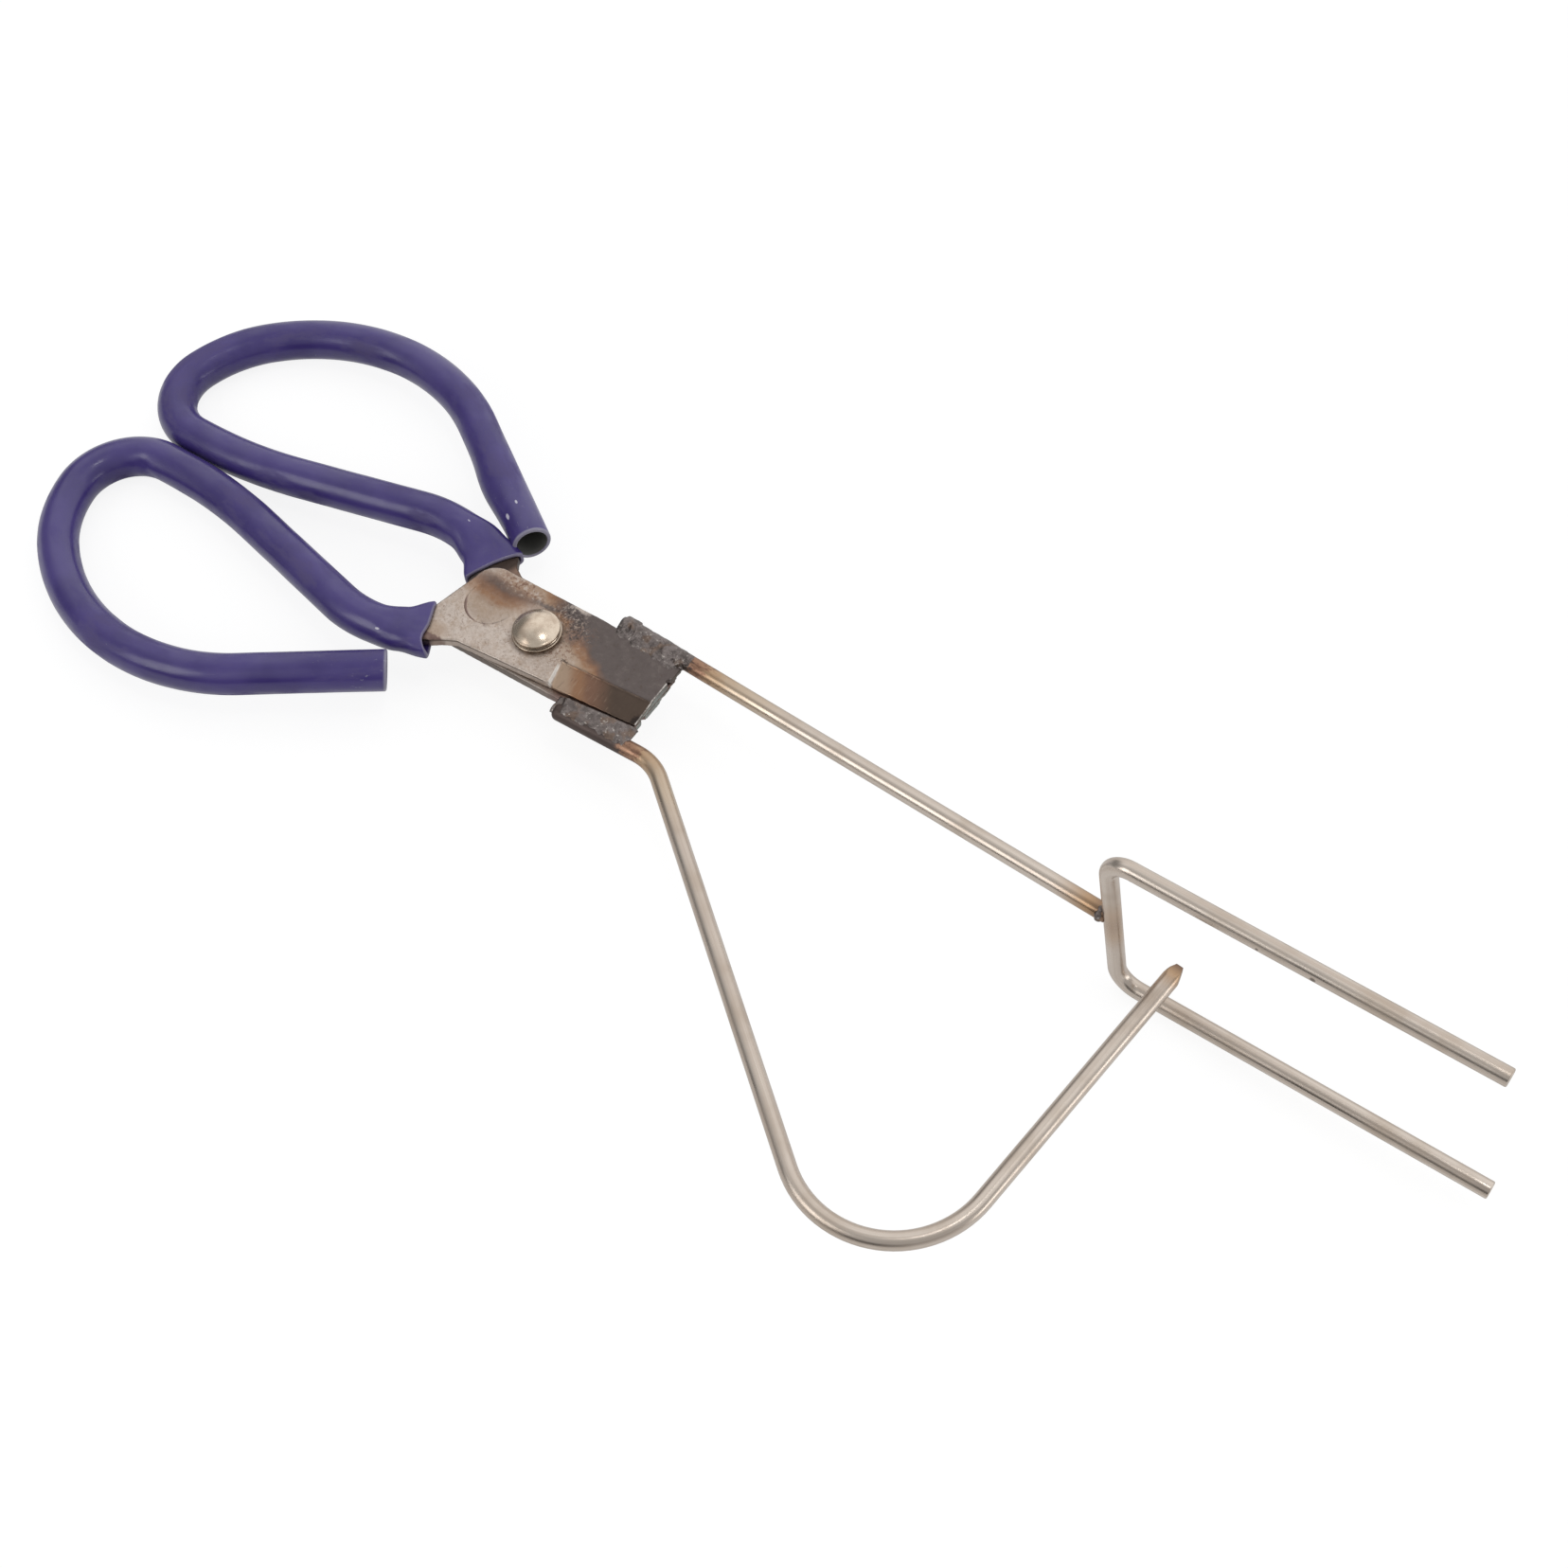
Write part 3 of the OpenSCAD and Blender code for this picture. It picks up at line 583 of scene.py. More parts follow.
    # Painted shade along the step at the bevel's top edge, darkest near its start
    bevel_top_shade = shader.times(shader.window(below, -0.06, 0.06, 0.12), shader.remap(past_start, 0, 1))
    colour = shader.mix(shader.times(bevel_top_shade, 0.55), colour, UMBER)
    bevel_start_shade = shader.patch(frayed, (10.6, -3.45), (1.3, 0.22), 0.5)
    colour = shader.mix(shader.times(bevel_start_shade, 0.8), colour, UMBER)
    strip = shader.times(shader.window(past_start, 0.15, 0.5, 0.2), shader.remap(y, -3.8, -5.4))
    colour = shader.mix(shader.times(strip, 0.8), colour, BRIGHT)

    # Painted shade along the low side of the dish's rim, and painted shade for a dint beside it
    from_dish = shader.distance(shader.stretch(place, (1, 1, 0)), (-DISH_X, DISH_Y, 0))
    inward = shader.dot(place, (-0.616, -0.788, 0))
    low_side = shader.remap(inward, 12.2, 13.3)
    dish_rim_shade = shader.times(shader.window(from_dish, DISH_R - 0.35, DISH_R - 0.05, 0.22), low_side)
    colour = shader.mix(shader.times(dish_rim_shade, 0.85), colour, PURPLE)
    dint_shade = shader.patch(frayed, (-12.4, -4.2), (0.8, 0.45), 0.7, -25)
    colour = shader.mix(shader.times(dint_shade, 0.7), colour, PURPLE)

    # Neck beside the sleeve, yellowed, with painted shade on its slanted facet
    neck = shader.times(shader.remap(y, -8.4, -10.6), shader.remap(x, -16.5, -19.5))
    colour = shader.mix(shader.times(neck, 0.65), colour, STRAW)
    facet_shade = shader.times(shader.remap(shader.axis(loose, 1), -12.6, -13.1), shader.remap(x, -16.6, -17.4))
    facet_shade = shader.times(facet_shade, shader.remap(blotch, 0.3, 0.6, 0.75, 1))
    colour = shader.mix(facet_shade, colour, PURPLE)

    # Flank under the front edge, with a dark line along its top
    beside = shader.times(shader.remap(y, -6, -7), shader.remap(x, 9.6, 9.0))
    flank = shader.times(shader.remap(z, TOP_Z - 0.15, TOP_Z - 0.35), beside)
    colour = shader.mix(shader.times(flank, 0.45), colour, STEEL_DULL)
    line = shader.times(shader.window(z, TOP_Z - 0.6, TOP_Z - 0.3, 0.12), beside)
    colour = shader.mix(shader.times(line, 0.75), colour, UMBER)

    # Sawn end: burnt, with a bright burr along it
    burnt = shader.patch(frayed, (32.5, -7.2), (0.6, 1.6), 0.4)
    colour = shader.mix(shader.times(burnt, 0.85), colour, BLACK)
    burr = shader.times(shader.window(x, 33.05, 33.25, 0.1), shader.remap(y, 6.5, 4.5))
    colour = shader.mix(shader.times(burr, shader.remap(blotch, 0.35, 0.6, 0.1, 0.7)), colour, BRIGHT)
    return colour


def lower_stains_and_shade(shader, place, colour):
    """The lower blade, darker all over, with painted shade in the gap past the upper one's edge and at the
    sleeve's mouth, and a brown neck that is partly heat tint and partly painted shade.
    """
    x, y, z = (shader.axis(place, i) for i in range(3))
    loose = shader.warp(place, 0.4, 0.9)
    colour = shader.mix(0.55, colour, (0.24, 0.215, 0.20))
    # Painted shade in the gap past the upper blade's edge
    gap_shade = shader.remap(shader.sum(y, shader.times(x, 0.02)), -10.4, -11.0)
    colour = shader.mix(shader.times(gap_shade, 0.7), colour, UMBER)
    heat = shader.remap(shader.axis(loose, 0), 7.5, 14)
    colour = shader.mix(shader.times(heat, 0.85), colour, PURPLE)
    # Brown neck, partly heat tint and partly painted shade
    neck = shader.times(shader.remap(x, -12, -16), shader.remap(y, 9, 12))
    colour = shader.mix(shader.times(neck, 0.8), colour, BROWN)
    # Painted shade at the mouth of the sleeve
    mouth = shader.remap(shader.dot(place, (1, -0.35, 0)), -21.2, -23.6)
    colour = shader.mix(shader.times(mouth, 0.85), colour, BLACK)
    return colour


def blade_steel(name, stains_and_shade):
    """Scissor steel, with the stains and painted shade that the given function adds."""
    shader = Shader(name)
    place = shader.place()
    colour, mottle, lines = worn_steel(shader, place)
    colour = stains_and_shade(shader, place, colour)
    edge = shader.nodes.new("ShaderNodeNewGeometry").outputs["Pointiness"]
    along = shader.axis(place, 0)
    rubbed = shader.times(shader.remap(edge, 0.53, 0.58), shader.window(along, -14, 10, 2))
    colour = shader.mix(shader.times(rubbed, 0.55), colour, BRIGHT)
    end = shader.remap(along, CUT_X - 0.3, CUT_X - 0.1)
    streaked = shader.noise(shader.stretch(place, (1, 0.25, 2)), 1, detail=4, rough=0.7)
    burnt_end = shader.remap(shader.axis(place, 1), 1, 6)
    sawn = shader.mix(shader.remap(streaked, 0.45, 0.7, 0, 0.6), END_GREY, SOOT)
    sawn = shader.mix(shader.times(burnt_end, 0.8), sawn, UMBER)
    colour = shader.mix(end, colour, sawn)
    grit = shader.noise(place, 1.8, detail=4, rough=0.65)
    shader.set(Base_Color=colour, Metallic=1.0)
    shader.set(Roughness=shader.remap(mottle, 0.3, 0.7, 0.36, 0.5))
    swell = shader.noise(place, 0.11, detail=2, rough=0.5)
    shader.bump((swell, 0.5, 0.3), (mottle, 0.08, 0.3), (lines, 0.02, 0.25), (grit, 0.02, 0.3))
    return shader.material


def drawn_rod(name, seam_end, hot_spots, dark_spots=()):
    """Drawn stainless rod: lengthwise lines, heat tints and a few pits.

    seam_end is where a seam weld on the rod ends, or None. Past it the tint runs from copper through
    gold to straw. Each hot spot is (distance, reach, share of straw, share of brown)."""
    shader = Shader(name)
    spot = shader.unbent()
    run = shader.axis(spot, 0)
    lines = shader.noise(shader.stretch(spot, (0.006, 1.3, 1.3)), 1, detail=4, rough=0.6)
    cloud = shader.noise(spot, 0.06, detail=4, rough=0.6)
    blotch = shader.noise(shader.stretch(spot, (0.5, 1, 1)), 0.9, detail=4, rough=0.65)
    colour = shader.mix(shader.remap(lines, 0.3, 0.7), (0.52, 0.44, 0.375), (0.67, 0.595, 0.525))
    colour = shader.mix(shader.remap(cloud, 0.45, 0.7, 0, 0.5), colour, (0.46, 0.37, 0.29))
    if seam_end is not None:
        past = shader.math("SUBTRACT", run, seam_end)
        past = shader.math("SUBTRACT", past, shader.remap(blotch, 0.3, 0.7, -1.5, 1.5))
        colour = shader.mix(shader.remap(past, 34, 12, 0, 0.55), colour, (0.50, 0.37, 0.235))
        colour = shader.mix(shader.remap(past, 14, 5, 0, 0.8), colour, (0.44, 0.285, 0.17))
        colour = shader.mix(shader.remap(past, 6.5, 3.5, 0, 0.9), colour, (0.33, 0.19, 0.13))
        stain = shader.times(shader.window(past, 0, 5, 1.5), shader.remap(blotch, 0.5, 0.6))
        colour = shader.mix(shader.times(stain, 0.6), colour, (0.16, 0.085, 0.06))
        colour = shader.mix(shader.remap(past, 0.9, -0.6, 0, 0.95), colour, (0.10, 0.08, 0.075))
    for distance, reach, straw_share, brown_share in hot_spots:
        away = shader.math("ABSOLUTE", shader.math("SUBTRACT", run, distance))
        away = shader.math("ADD", away, shader.math("MULTIPLY", cloud, reach * 0.5))
        straw = shader.remap(away, reach * 1.1, reach * 0.5)
        brown = shader.remap(away, reach * 0.6, reach * 0.25)
        colour = shader.mix(shader.math("MULTIPLY", straw, straw_share), colour, (0.42, 0.26, 0.14))
        colour = shader.mix(shader.math("MULTIPLY", brown, brown_share), colour, (0.16, 0.10, 0.08))
    for distance, size in dark_spots:
        away = shader.distance(spot, (distance, 0, ROD_R))
        away = shader.math("ADD", away, shader.math("MULTIPLY", blotch, 0.6 * size))
        colour = shader.mix(shader.remap(away, size * 1.3, size * 0.8, 0, 0.75), colour, (0.08, 0.06, 0.05))
    shader.set(Base_Color=colour, Metallic=1.0)
    rough = shader.remap(cloud, 0.3, 0.7, 0.24, 0.38)
    if seam_end is not None:
        rough = shader.math("ADD", rough, shader.remap(past, 4, -1, 0, 0.22))
    shader.set(Roughness=rough)
    shader.bump((lines, 0.05, 0.12))
    return shader.material


def rivet_metal():
    """Nickel plate, slightly scuffed, with painted shade in the grooves under the head."""
    shader = Shader("rivet_nickel_plate")
    place = shader.place()
    cloud = shader.noise(place, 0.35, detail=5, rough=0.6)
    grit = shader.noise(place, 2.2, detail=3)
    lines = shader.noise(shader.stretch(shader.turned(place, -50), (0.3, 5, 1)), 1, detail=3)
    colour = shader.mix(shader.remap(cloud, 0.35, 0.7), (0.74, 0.63, 0.51), (0.54, 0.43, 0.335))
    colour = shader.mix(shader.remap(grit, 0.62, 0.72, 0, 0.35), colour, (0.42, 0.32, 0.25))
    # Painted shade in the gap under the head's rim and in the groove on its side
    height = shader.axis(place, 2)
    groove_shade = shader.window(height, head_z + 0.03, head_z + 0.2, 0.06)
    groove_shade = shader.math("MAXIMUM", groove_shade, shader.window(height, head_z + 0.5, head_z + 0.6, 0.06))
    colour = shader.mix(shader.times(groove_shade, 0.85), colour, BLACK)
    shader.set(Base_Color=colour, Metallic=1.0, Roughness=shader.remap(cloud, 0.3, 0.7, 0.2, 0.3))
    shader.bump((cloud, 0.06, 0.25), (lines, 0.01, 0.15), (grit, 0.008, 0.25))
    return shader.material


def weld_metal():
    """Weld metal under its burnt skin, with a few bright specks."""
    shader = Shader("weld_crust")
    place = shader.place()
    cloud = shader.noise(place, 0.5, detail=5, rough=0.65)
    grain = shader.noise(place, 1.9, detail=4, rough=0.7)
    colour = shader.mix(shader.remap(cloud, 0.35, 0.65), (0.135, 0.115, 0.108), (0.25, 0.215, 0.205))
    colour = shader.mix(shader.remap(grain, 0.42, 0.33, 0, 0.7), colour, (0.055, 0.042, 0.038))
    warm = shader.remap(shader.noise(place, 0.28, detail=2), 0.54, 0.66, 0, 0.6)
    colour = shader.mix(warm, colour, (0.20, 0.135, 0.098))
    spark = shader.noise(place, 0.85, detail=4, rough=0.8)
    colour = shader.mix(shader.remap(spark, 0.59, 0.65, 0, 0.85), colour, (0.52, 0.48, 0.44))
    shader.set(Base_Color=colour, Metallic=1.0, Roughness=shader.remap(cloud, 0.3, 0.7, 0.32, 0.5))
    shader.bump((cloud, 0.3, 0.6), (grain, 0.12, 0.7))
    return shader.material


def vinyl(name, length, chips):
    """Indigo vinyl, paler and scuffed towards its open end. Each chip is (distance, angle, size)."""
    shader = Shader(name)
    spot = shader.unbent()
    run = shader.axis(spot, 0)
    cloud = shader.noise(spot, 0.09, detail=3)
    fine = shader.noise(spot, 1.6, detail=2)
    colour = shader.mix(shader.remap(cloud, 0.3, 0.7), (0.042, 0.026, 0.160), (0.062, 0.042, 0.205))
    to_end = shader.math("SUBTRACT", length, run)
    scuff = shader.noise(shader.stretch(spot, (0.5, 0.9, 0.9)), 1, detail=4, rough=0.7)
    dust = shader.noise(shader.stretch(spot, (0.05, 0.12, 0.12)), 1, detail=5, rough=0.7)
    dusty = shader.remap(dust, 0.52, 0.72, 0, 0.55)
    colour = shader.mix(dusty, colour, (0.12, 0.10, 0.20))
    near_end = shader.remap(to_end, 22, 2)
    worn = shader.math("MULTIPLY", shader.remap(scuff, 0.62, 0.72), near_end)
    nicks = shader.remap(scuff, 0.72, 0.76)
    colour = shader.mix(shader.times(shader.math("MAXIMUM", worn, nicks), 0.6), colour, (0.42, 0.41, 0.46))
    for distance, angle, size in chips:
        heading = math.radians(angle)
        centre = (distance * 0.5, 4.85 * math.cos(heading), 4.85 * math.sin(heading))
        away = shader.distance(shader.stretch(spot, (0.5, 1, 1)), centre)
        colour = shader.mix(shader.remap(away, size, size * 0.6, 0, 0.9), colour, (0.62, 0.60, 0.70))
    rim = shader.remap(to_end, 0.9, 0.3)
    mouth_rim = shader.remap(run, 0.5, 0.15)
    colour = shader.mix(shader.math("MULTIPLY", rim, 0.7), colour, (0.35, 0.335, 0.40))
    colour = shader.mix(shader.math("MULTIPLY", mouth_rim, 0.5), colour, (0.32, 0.30, 0.36))
    across = shader.vector_math("LENGTH", shader.stretch(spot, (0, 1, 1))).outputs["Value"]
    inside = shader.times(shader.remap(across, BORE_R + 0.4, BORE_R + 0.2), shader.remap(to_end, 14, 12))
    inside = shader.times(inside, shader.remap(to_end, 0.1, 0.3))
    colour = shader.mix(inside, colour, (0.13, 0.13, 0.12))
    shader.set(Base_Color=colour, Roughness=shader.sum(shader.remap(cloud, 0.3, 0.7, 0.28, 0.36), dusty))
    shader.set(Specular_IOR_Level=0.5)
    shader.set(Coat_Weight=shader.remap(dust, 0.6, 0.4, 0.05, 0.45), Coat_Roughness=0.17)
    ripple = shader.noise(shader.stretch(spot, (0.07, 0.16, 0.16)), 1, detail=2)
    shader.bump((ripple, 0.5, 0.35), (fine, 0.02, 0.12))
    return shader.material


# Rods

def rod(name, pose, pieces, place, body, node, material, lift=0, pointed=False, sheared=0.35):
    """A bent bar. sheared is how far the corner of its first end was rounded when it was cut."""
    insets = sorted({0.12, 0.35, sheared * 0.1, sheared * 0.3, sheared * 0.6, sheared})
    stations = with_end_stations(follow(pose, pieces, 4), insets)
    total = stations[-1][0]

    def section(s):
        fillet = sheared if s < total / 2 else 0.35
        short = max(0, 1 - min(s, total - s) / fillet)
        radius = ROD_R - fillet * (1 - math.sqrt(1 - short * short * 0.97))
        pairs = round_section(radius, 32)
        to_tip = total - s
        if pointed and to_tip < POINT_L:
            flat = POINT_W / 2 + (ROD_R - POINT_W / 2) * to_tip / POINT_L
            pairs = [(max(-flat, min(flat, a)), max(-flat, min(flat, b))) for a, b in pairs]
        return pairs

    if pointed:
        tip = [(total - d, along_piece(stations[-1][1], (1, 0), -d)) for d in (3.6, 3.2, 2.6, 2, 1.4, 0.8)]
        stations = sorted(stations + tip, key=lambda item: item[0])
    mesh = swept(name, stations, section, place, lambda s: lift)
    return make_object(name, mesh, body, "rod_steel", material, node)


arm_pose = rod_start(UPPER_TAPER, UPPER_SEAM_L)
arm_end = along_piece(arm_pose, (1, 0), ARM_L)
upper_turn, lower_turn = 90 + LEAN, 90 - LEAN
upper_miter = UPPER_CORNER_R * math.tan(math.radians(upper_turn / 2))
lower_miter = LOWER_CORNER_R * math.tan(math.radians(lower_turn / 2))
fork_pieces = [
    (TINE_L - upper_miter, 0),
    (UPPER_CORNER_R, upper_turn),
    (TINE_GAP / math.cos(math.radians(LEAN)) - upper_miter - lower_miter, 0),
    (LOWER_CORNER_R, lower_turn),
    (TINE_L - lower_miter, 0),
]
fork_place = (
    UPPER
    @ Matrix.Translation((arm_end[0], arm_end[1], MID_Z))
    @ Matrix.Rotation(math.radians(-TINE_TURN), 4, "Z")
    @ Matrix.Rotation(math.radians(90), 4, "X")
)
tip_pose = (TINE_L - TINE_RISE * math.tan(math.radians(LEAN)), TINE_RISE, 180)
fork_length = sum(piece_length(piece) for piece in fork_pieces)
crossbar_at = TINE_L - upper_miter + piece_length(fork_pieces[1]) + fork_pieces[2][0] / 2
bent_length = sum(piece_length(piece) for piece in BENT_PIECES)

arm_material = drawn_rod("arm_steel", UPPER_SEAM_L + 1.2, [(ARM_L, 18, 0.9, 0.8)])
fork_material = drawn_rod("fork_steel", None, [(crossbar_at - 1, 12, 0.45, 0.15)], [(40, 0.8), (52, 0.5)])
bent_material = drawn_rod("bent_steel", LOWER_SEAM_L, [(bent_length, 9, 0.85, 0.85)], [(190, 0.7)])
rod("straight_rod", arm_pose, [(ARM_L - ROD_R * 0.6, 0)], UPPER, "upper_half", "straight_arm", arm_material, MID_Z)
rod("fork_rod", tip_pose, fork_pieces, fork_place, "upper_half", "fork", fork_material)
bent_pose = rod_start(LOWER_TAPER, LOWER_SEAM_L)
rod("bent_rod", bent_pose, BENT_PIECES, LOWER, "lower_half", "bent_arm", bent_material, MID_Z, True, 1.3)


# Sleeves

def squarish(width, height, power, segments):
    pairs = []
    for i in range(segments):
        angle = 2 * math.pi * i / segments
        c, s = math.cos(angle), math.sin(angle)
        across = width / 2 * math.copysign(abs(c) ** (2 / power), c)
        pairs.append((across, height / 2 * math.copysign(abs(s) ** (2 / power), s)))
    return pairs


def smooth(value):
    value = max(0, min(1, value))
    return value * value * (3 - 2 * value)


def sleeve(name, free_x, body, node, slant, dents, waves, chips):
    """The sleeve from the mouth on the neck, s = 0, round the loop to its open end.

    slant is how much further the cut end reaches per mm to the right, per mm up and all round. Each dent is
    (distance, angle, length, width in degrees, height), and stands out where its height is positive.
    Each wave of the mouth's rim is (place across, from -1 to 1, side in degrees, width, how far the
    rim steps back there)."""
    back = (MOUTH[0], MOUTH[1], MOUTH[2] + 180)
    flare = [(NECK_RUN, 0), (NECK_BEND_R, -NECK_FLARE_BEND / 2), (NECK_BEND_R, -NECK_FLARE_BEND / 2)]
    stations = follow(back, flare + loop_pieces(free_x), 1.5, 2)
    stations = with_end_stations(stations, [0.15, 0.4])
    total = stations[-1][0]

    def lift(s):
        return MID_Z * (1 - smooth(s / FLARE_L))

    def section(s, wall):
        share = s / FLARE_L
        grow = 2 * (BORE_R - TANG_R) + 2 * wall
        if share >= 1:
            pairs = squarish(2 * TANG_R + grow, 2 * TANG_R + grow, 2, 40)
        elif share > 0.5:
            k = smooth(2 * share - 1)
            wide = NECK_MID_W + (2 * TANG_R - NECK_MID_W) * k
            tall = NECK_MID_T + (2 * TANG_R - NECK_MID_T) * k
            pairs = squarish(wide + grow, tall + grow, 2.4 - 0.4 * k, 40)
        else:
            k = smooth(2 * share)
            wide = NECK_W + (NECK_MID_W - NECK_W) * k
            tall = BLADE_T + (NECK_MID_T - BLADE_T) * k
            pairs = squarish(wide + grow, tall + grow, 4 - 1.6 * k, 40)
        return pairs

    def dented(distance, angle):
        height = 0
        for place, heading, length, width, rise in dents:
            turned = (math.degrees(angle) - heading + 180) % 360 - 180
            height += rise * math.exp(-(((distance - place) / length) ** 2) - (turned / width) ** 2)
        return height

    def stepped_back(across, angle):
        back = 0
        for place, heading, width, step in waves:
            facing = max(0, math.cos(angle - math.radians(heading)) * 1.6)
            spread = (across / (NECK_W / 2 + 1) - place) / width
            back += step * min(1, facing) * math.exp(-spread * spread)
        return back

    def skin(wall, cut):
        rings, unbent = [], []
        for distance, (x, y, heading) in stations:
            from_end = min(distance, total - distance)
            shrink = cut * (1 - min(from_end, 0.4) / 0.4) ** 2
            centre = Vector((x, y, lift(distance)))
            side = left_of(heading)
            pairs = section(distance, wall - shrink)
            ring = []
            for i, (across, up) in enumerate(pairs):
                angle = 2 * math.pi * i / len(pairs)
                sample = Vector((distance * 0.09, math.cos(angle) * 0.6, math.sin(angle) * 0.6))
                sway = 0.12 * noise.noise(sample) if wall > 0 else 0
                length = math.hypot(across, up)
                factor = 1 + (min(sway, 0) + dented(distance, angle)) / length
                reach = up * slant[1] - across * slant[0] + slant[2]
                slip = reach * smooth(1 - (total - distance) / 12)
                slip += stepped_back(across, angle) * smooth(1 - distance / 7)
                point = centre + side * across * factor + Vector((0, 0, up * factor))
                ring.append(point + heading_of(heading) * slip)
            rings.append(ring)
            unbent.append([Vector((distance, across, up)) for across, up in pairs])
        return rings, unbent

    outer, outer_unbent = skin(1.0, 0.35)
    inner, inner_unbent = skin(0.0, -0.2)
    rings = outer + list(reversed(inner))
    unbent = outer_unbent + list(reversed(inner_unbent))
    mesh = ring_mesh(name, rings, HALVES[body], unbent, capped=False, closed_loop=True)
    return make_object(name, mesh, body, "handle_vinyl", vinyl(name + "_vinyl", total, chips), node)


FRONT_DENTS = [(95.8, 24, 1.8, 18, -0.35), (92, 22, 3, 24, 0.2), (10.6, 44, 0.5, 6, 0.22)]
REAR_DENTS = [(225.4, 0, 8, 45, 0.9), (243, 0, 7, 60, -0.3), (60, 200, 6, 40, -0.2), (7, 330, 5, 35, 0.6)]
FRONT_MOUTH = [(0.5, 90, 0.4, 1.3), (-0.9, 90, 0.25, -0.3)]
REAR_MOUTH = [(0.1, 270, 0.5, 0.4)]
FRONT_CHIPS = [(11.2, 46, 0.3)]
REAR_CHIPS = [(238.5, 309, 0.55), (11.8, 282, 0.35), (236, 268, 0.35)]
sleeve("front_sleeve", UPPER_FREE_X, "upper_half", "upper_sleeve", (0.08, 0.2, 1.3), FRONT_DENTS, FRONT_MOUTH, FRONT_CHIPS)
sleeve("rear_sleeve", LOWER_FREE_X, "lower_half", "lower_sleeve", (0, 0, 0), REAR_DENTS, REAR_MOUTH, REAR_CHIPS)


# Blades

def remeshed(name, work, voxel, passes):
    """The closed skin of some overlapping parts, evened out."""
    mesh = bpy.data.meshes.new(name + "_blank")
    work.to_mesh(mesh)
    work.free()
    blank = bpy.data.objects.new(name + "_blank", mesh)
    bpy.context.collection.objects.link(blank)
    remesh = blank.modifiers.new("voxels", "REMESH")
    remesh.mode = "VOXEL"
    remesh.voxel_size = voxel
    even = blank.modifiers.new("even", "SMOOTH")
    even.factor = 0.5
    even.iterations = passes
    shape = bpy.data.meshes.new_from_object(blank.evaluated_get(bpy.context.evaluated_depsgraph_get()))
    bpy.data.objects.remove(blank)
    return shape


def forged_blade(name, body, node, stains_and_shade):
    """The plate and neck of a scissor half, softened and worn, from the solid of the half."""
    source = frame["nodes"][node]
    work = bmesh.new()
    work.from_mesh(source.data)
    work.transform(source.matrix_world)
    work.transform(HALVES[body].inverted())
    bmesh.ops.remove_doubles(work, verts=work.verts, dist=1e-4)
    geometry = work.verts[:] + work.edges[:] + work.faces[:]
    neck_cut = (NECK_CUT_X, 0, 0)
    bmesh.ops.bisect_plane(work, geom=geometry, plane_co=neck_cut, plane_no=(-1, 0, 0), clear_outer=True)
    bmesh.ops.holes_fill(work, edges=[edge for edge in work.edges if edge.is_boundary])
    shape = remeshed(name, work, 0.24, 2)
    normals = [vertex.normal.copy() for vertex in shape.vertices]
    for vertex, normal in zip(shape.vertices, normals):
        point = vertex.co
        on_rim = abs(normal.z) < 0.8
        push = 0.02 * noise.noise(point * 0.5) + 0.012 * noise.noise(point * 2.1)
        if point.x > CUT_X - 1.2 and on_rim:
            push += 0.16 * noise.noise(point * 1.3) - 0.08
        if abs(point.y) > 8 and on_rim:
            push += 0.05 * noise.noise(point * 0.9) - 0.025
        vertex.co = point + normal * min(push, 0.02)
    shape.transform(HALVES[body])
    shape.polygons.foreach_set("use_smooth", [True] * len(shape.polygons))
    return make_object(name, shape, body, "blade_steel", blade_steel(name + "_steel", stains_and_shade), node)


def tang(name, free_x, body, node, material):
    stations = follow(TANG_START, loop_pieces(free_x), 4)
    total = stations[-1][0]
    stations = [station for station in stations if station[0] < total - TANG_SHORT]
    mesh = swept(name, stations, lambda s: round_section(TANG_R - 0.02, 24), HALVES[body])
    return make_object(name, mesh, body, "blade_steel", material)


upper_plate = forged_blade("front_loop_blade", "upper_half", "upper_blade", upper_stains_and_shade)
lower_plate = forged_blade("rear_loop_blade", "lower_half", "lower_blade", lower_stains_and_shade)
tang("front_tang", UPPER_FREE_X, "upper_half", "upper_blade", upper_plate.data.materials[0])
tang("rear_tang", LOWER_FREE_X, "lower_half", "lower_blade", lower_plate.data.materials[0])


# Rivet and washers

def lathe(name, profile, node, wobble=0.0, segments=96):
    """A piece turned about the pivot axis. profile is a list of (radius, z) from end to end."""
    rings = []
    for radius, z in profile:
        ring = []
        for across, along in round_section(radius, segments):
            dent = wobble * noise.noise(Vector((across, along, z)) * 0.45)
            ring.append(Vector((across, along, z + dent)))
        rings.append(ring)
    mesh = ring_mesh(name, rings, UPPER, rings)
    return make_object(name, mesh, "upper_half", "rivet_nickel", nickel, node)


def dome_profile(radius, height, rim_z, fillet, steps=28):
    """From the rim over a rounded edge to the top of a spherical dome."""
    ball = (radius * radius + height * height) / (2 * height)
    edge_angle = math.asin(radius / ball)
    inner = radius - fillet * math.tan(edge_angle / 2 + math.pi / 4 - edge_angle / 2)
    points = []
    for i in range(6):
        angle = i / 5 * (math.pi / 2 - edge_angle * 0.9)
        points.append((radius - fillet * (1 - math.cos(angle)), rim_z + fillet * math.sin(angle)))
    for i in range(1, steps + 1):
        reach = min(inner, radius - fillet) * (1 - i / steps) + 0.01
        points.append((reach, rim_z + height - ball + math.sqrt(ball * ball - reach * reach)))
    return points


def washer_profile(inner, outer, low, high, fillet):
    return [
        (inner, low),
        (outer - fillet, low),
        (outer - fillet * 0.3, low + fillet * 0.3),
        (outer, low + fillet),
        (outer, high - fillet),
        (outer - fillet * 0.3, high - fillet * 0.3),
        (outer - fillet, high),
        (inner, high),
    ]


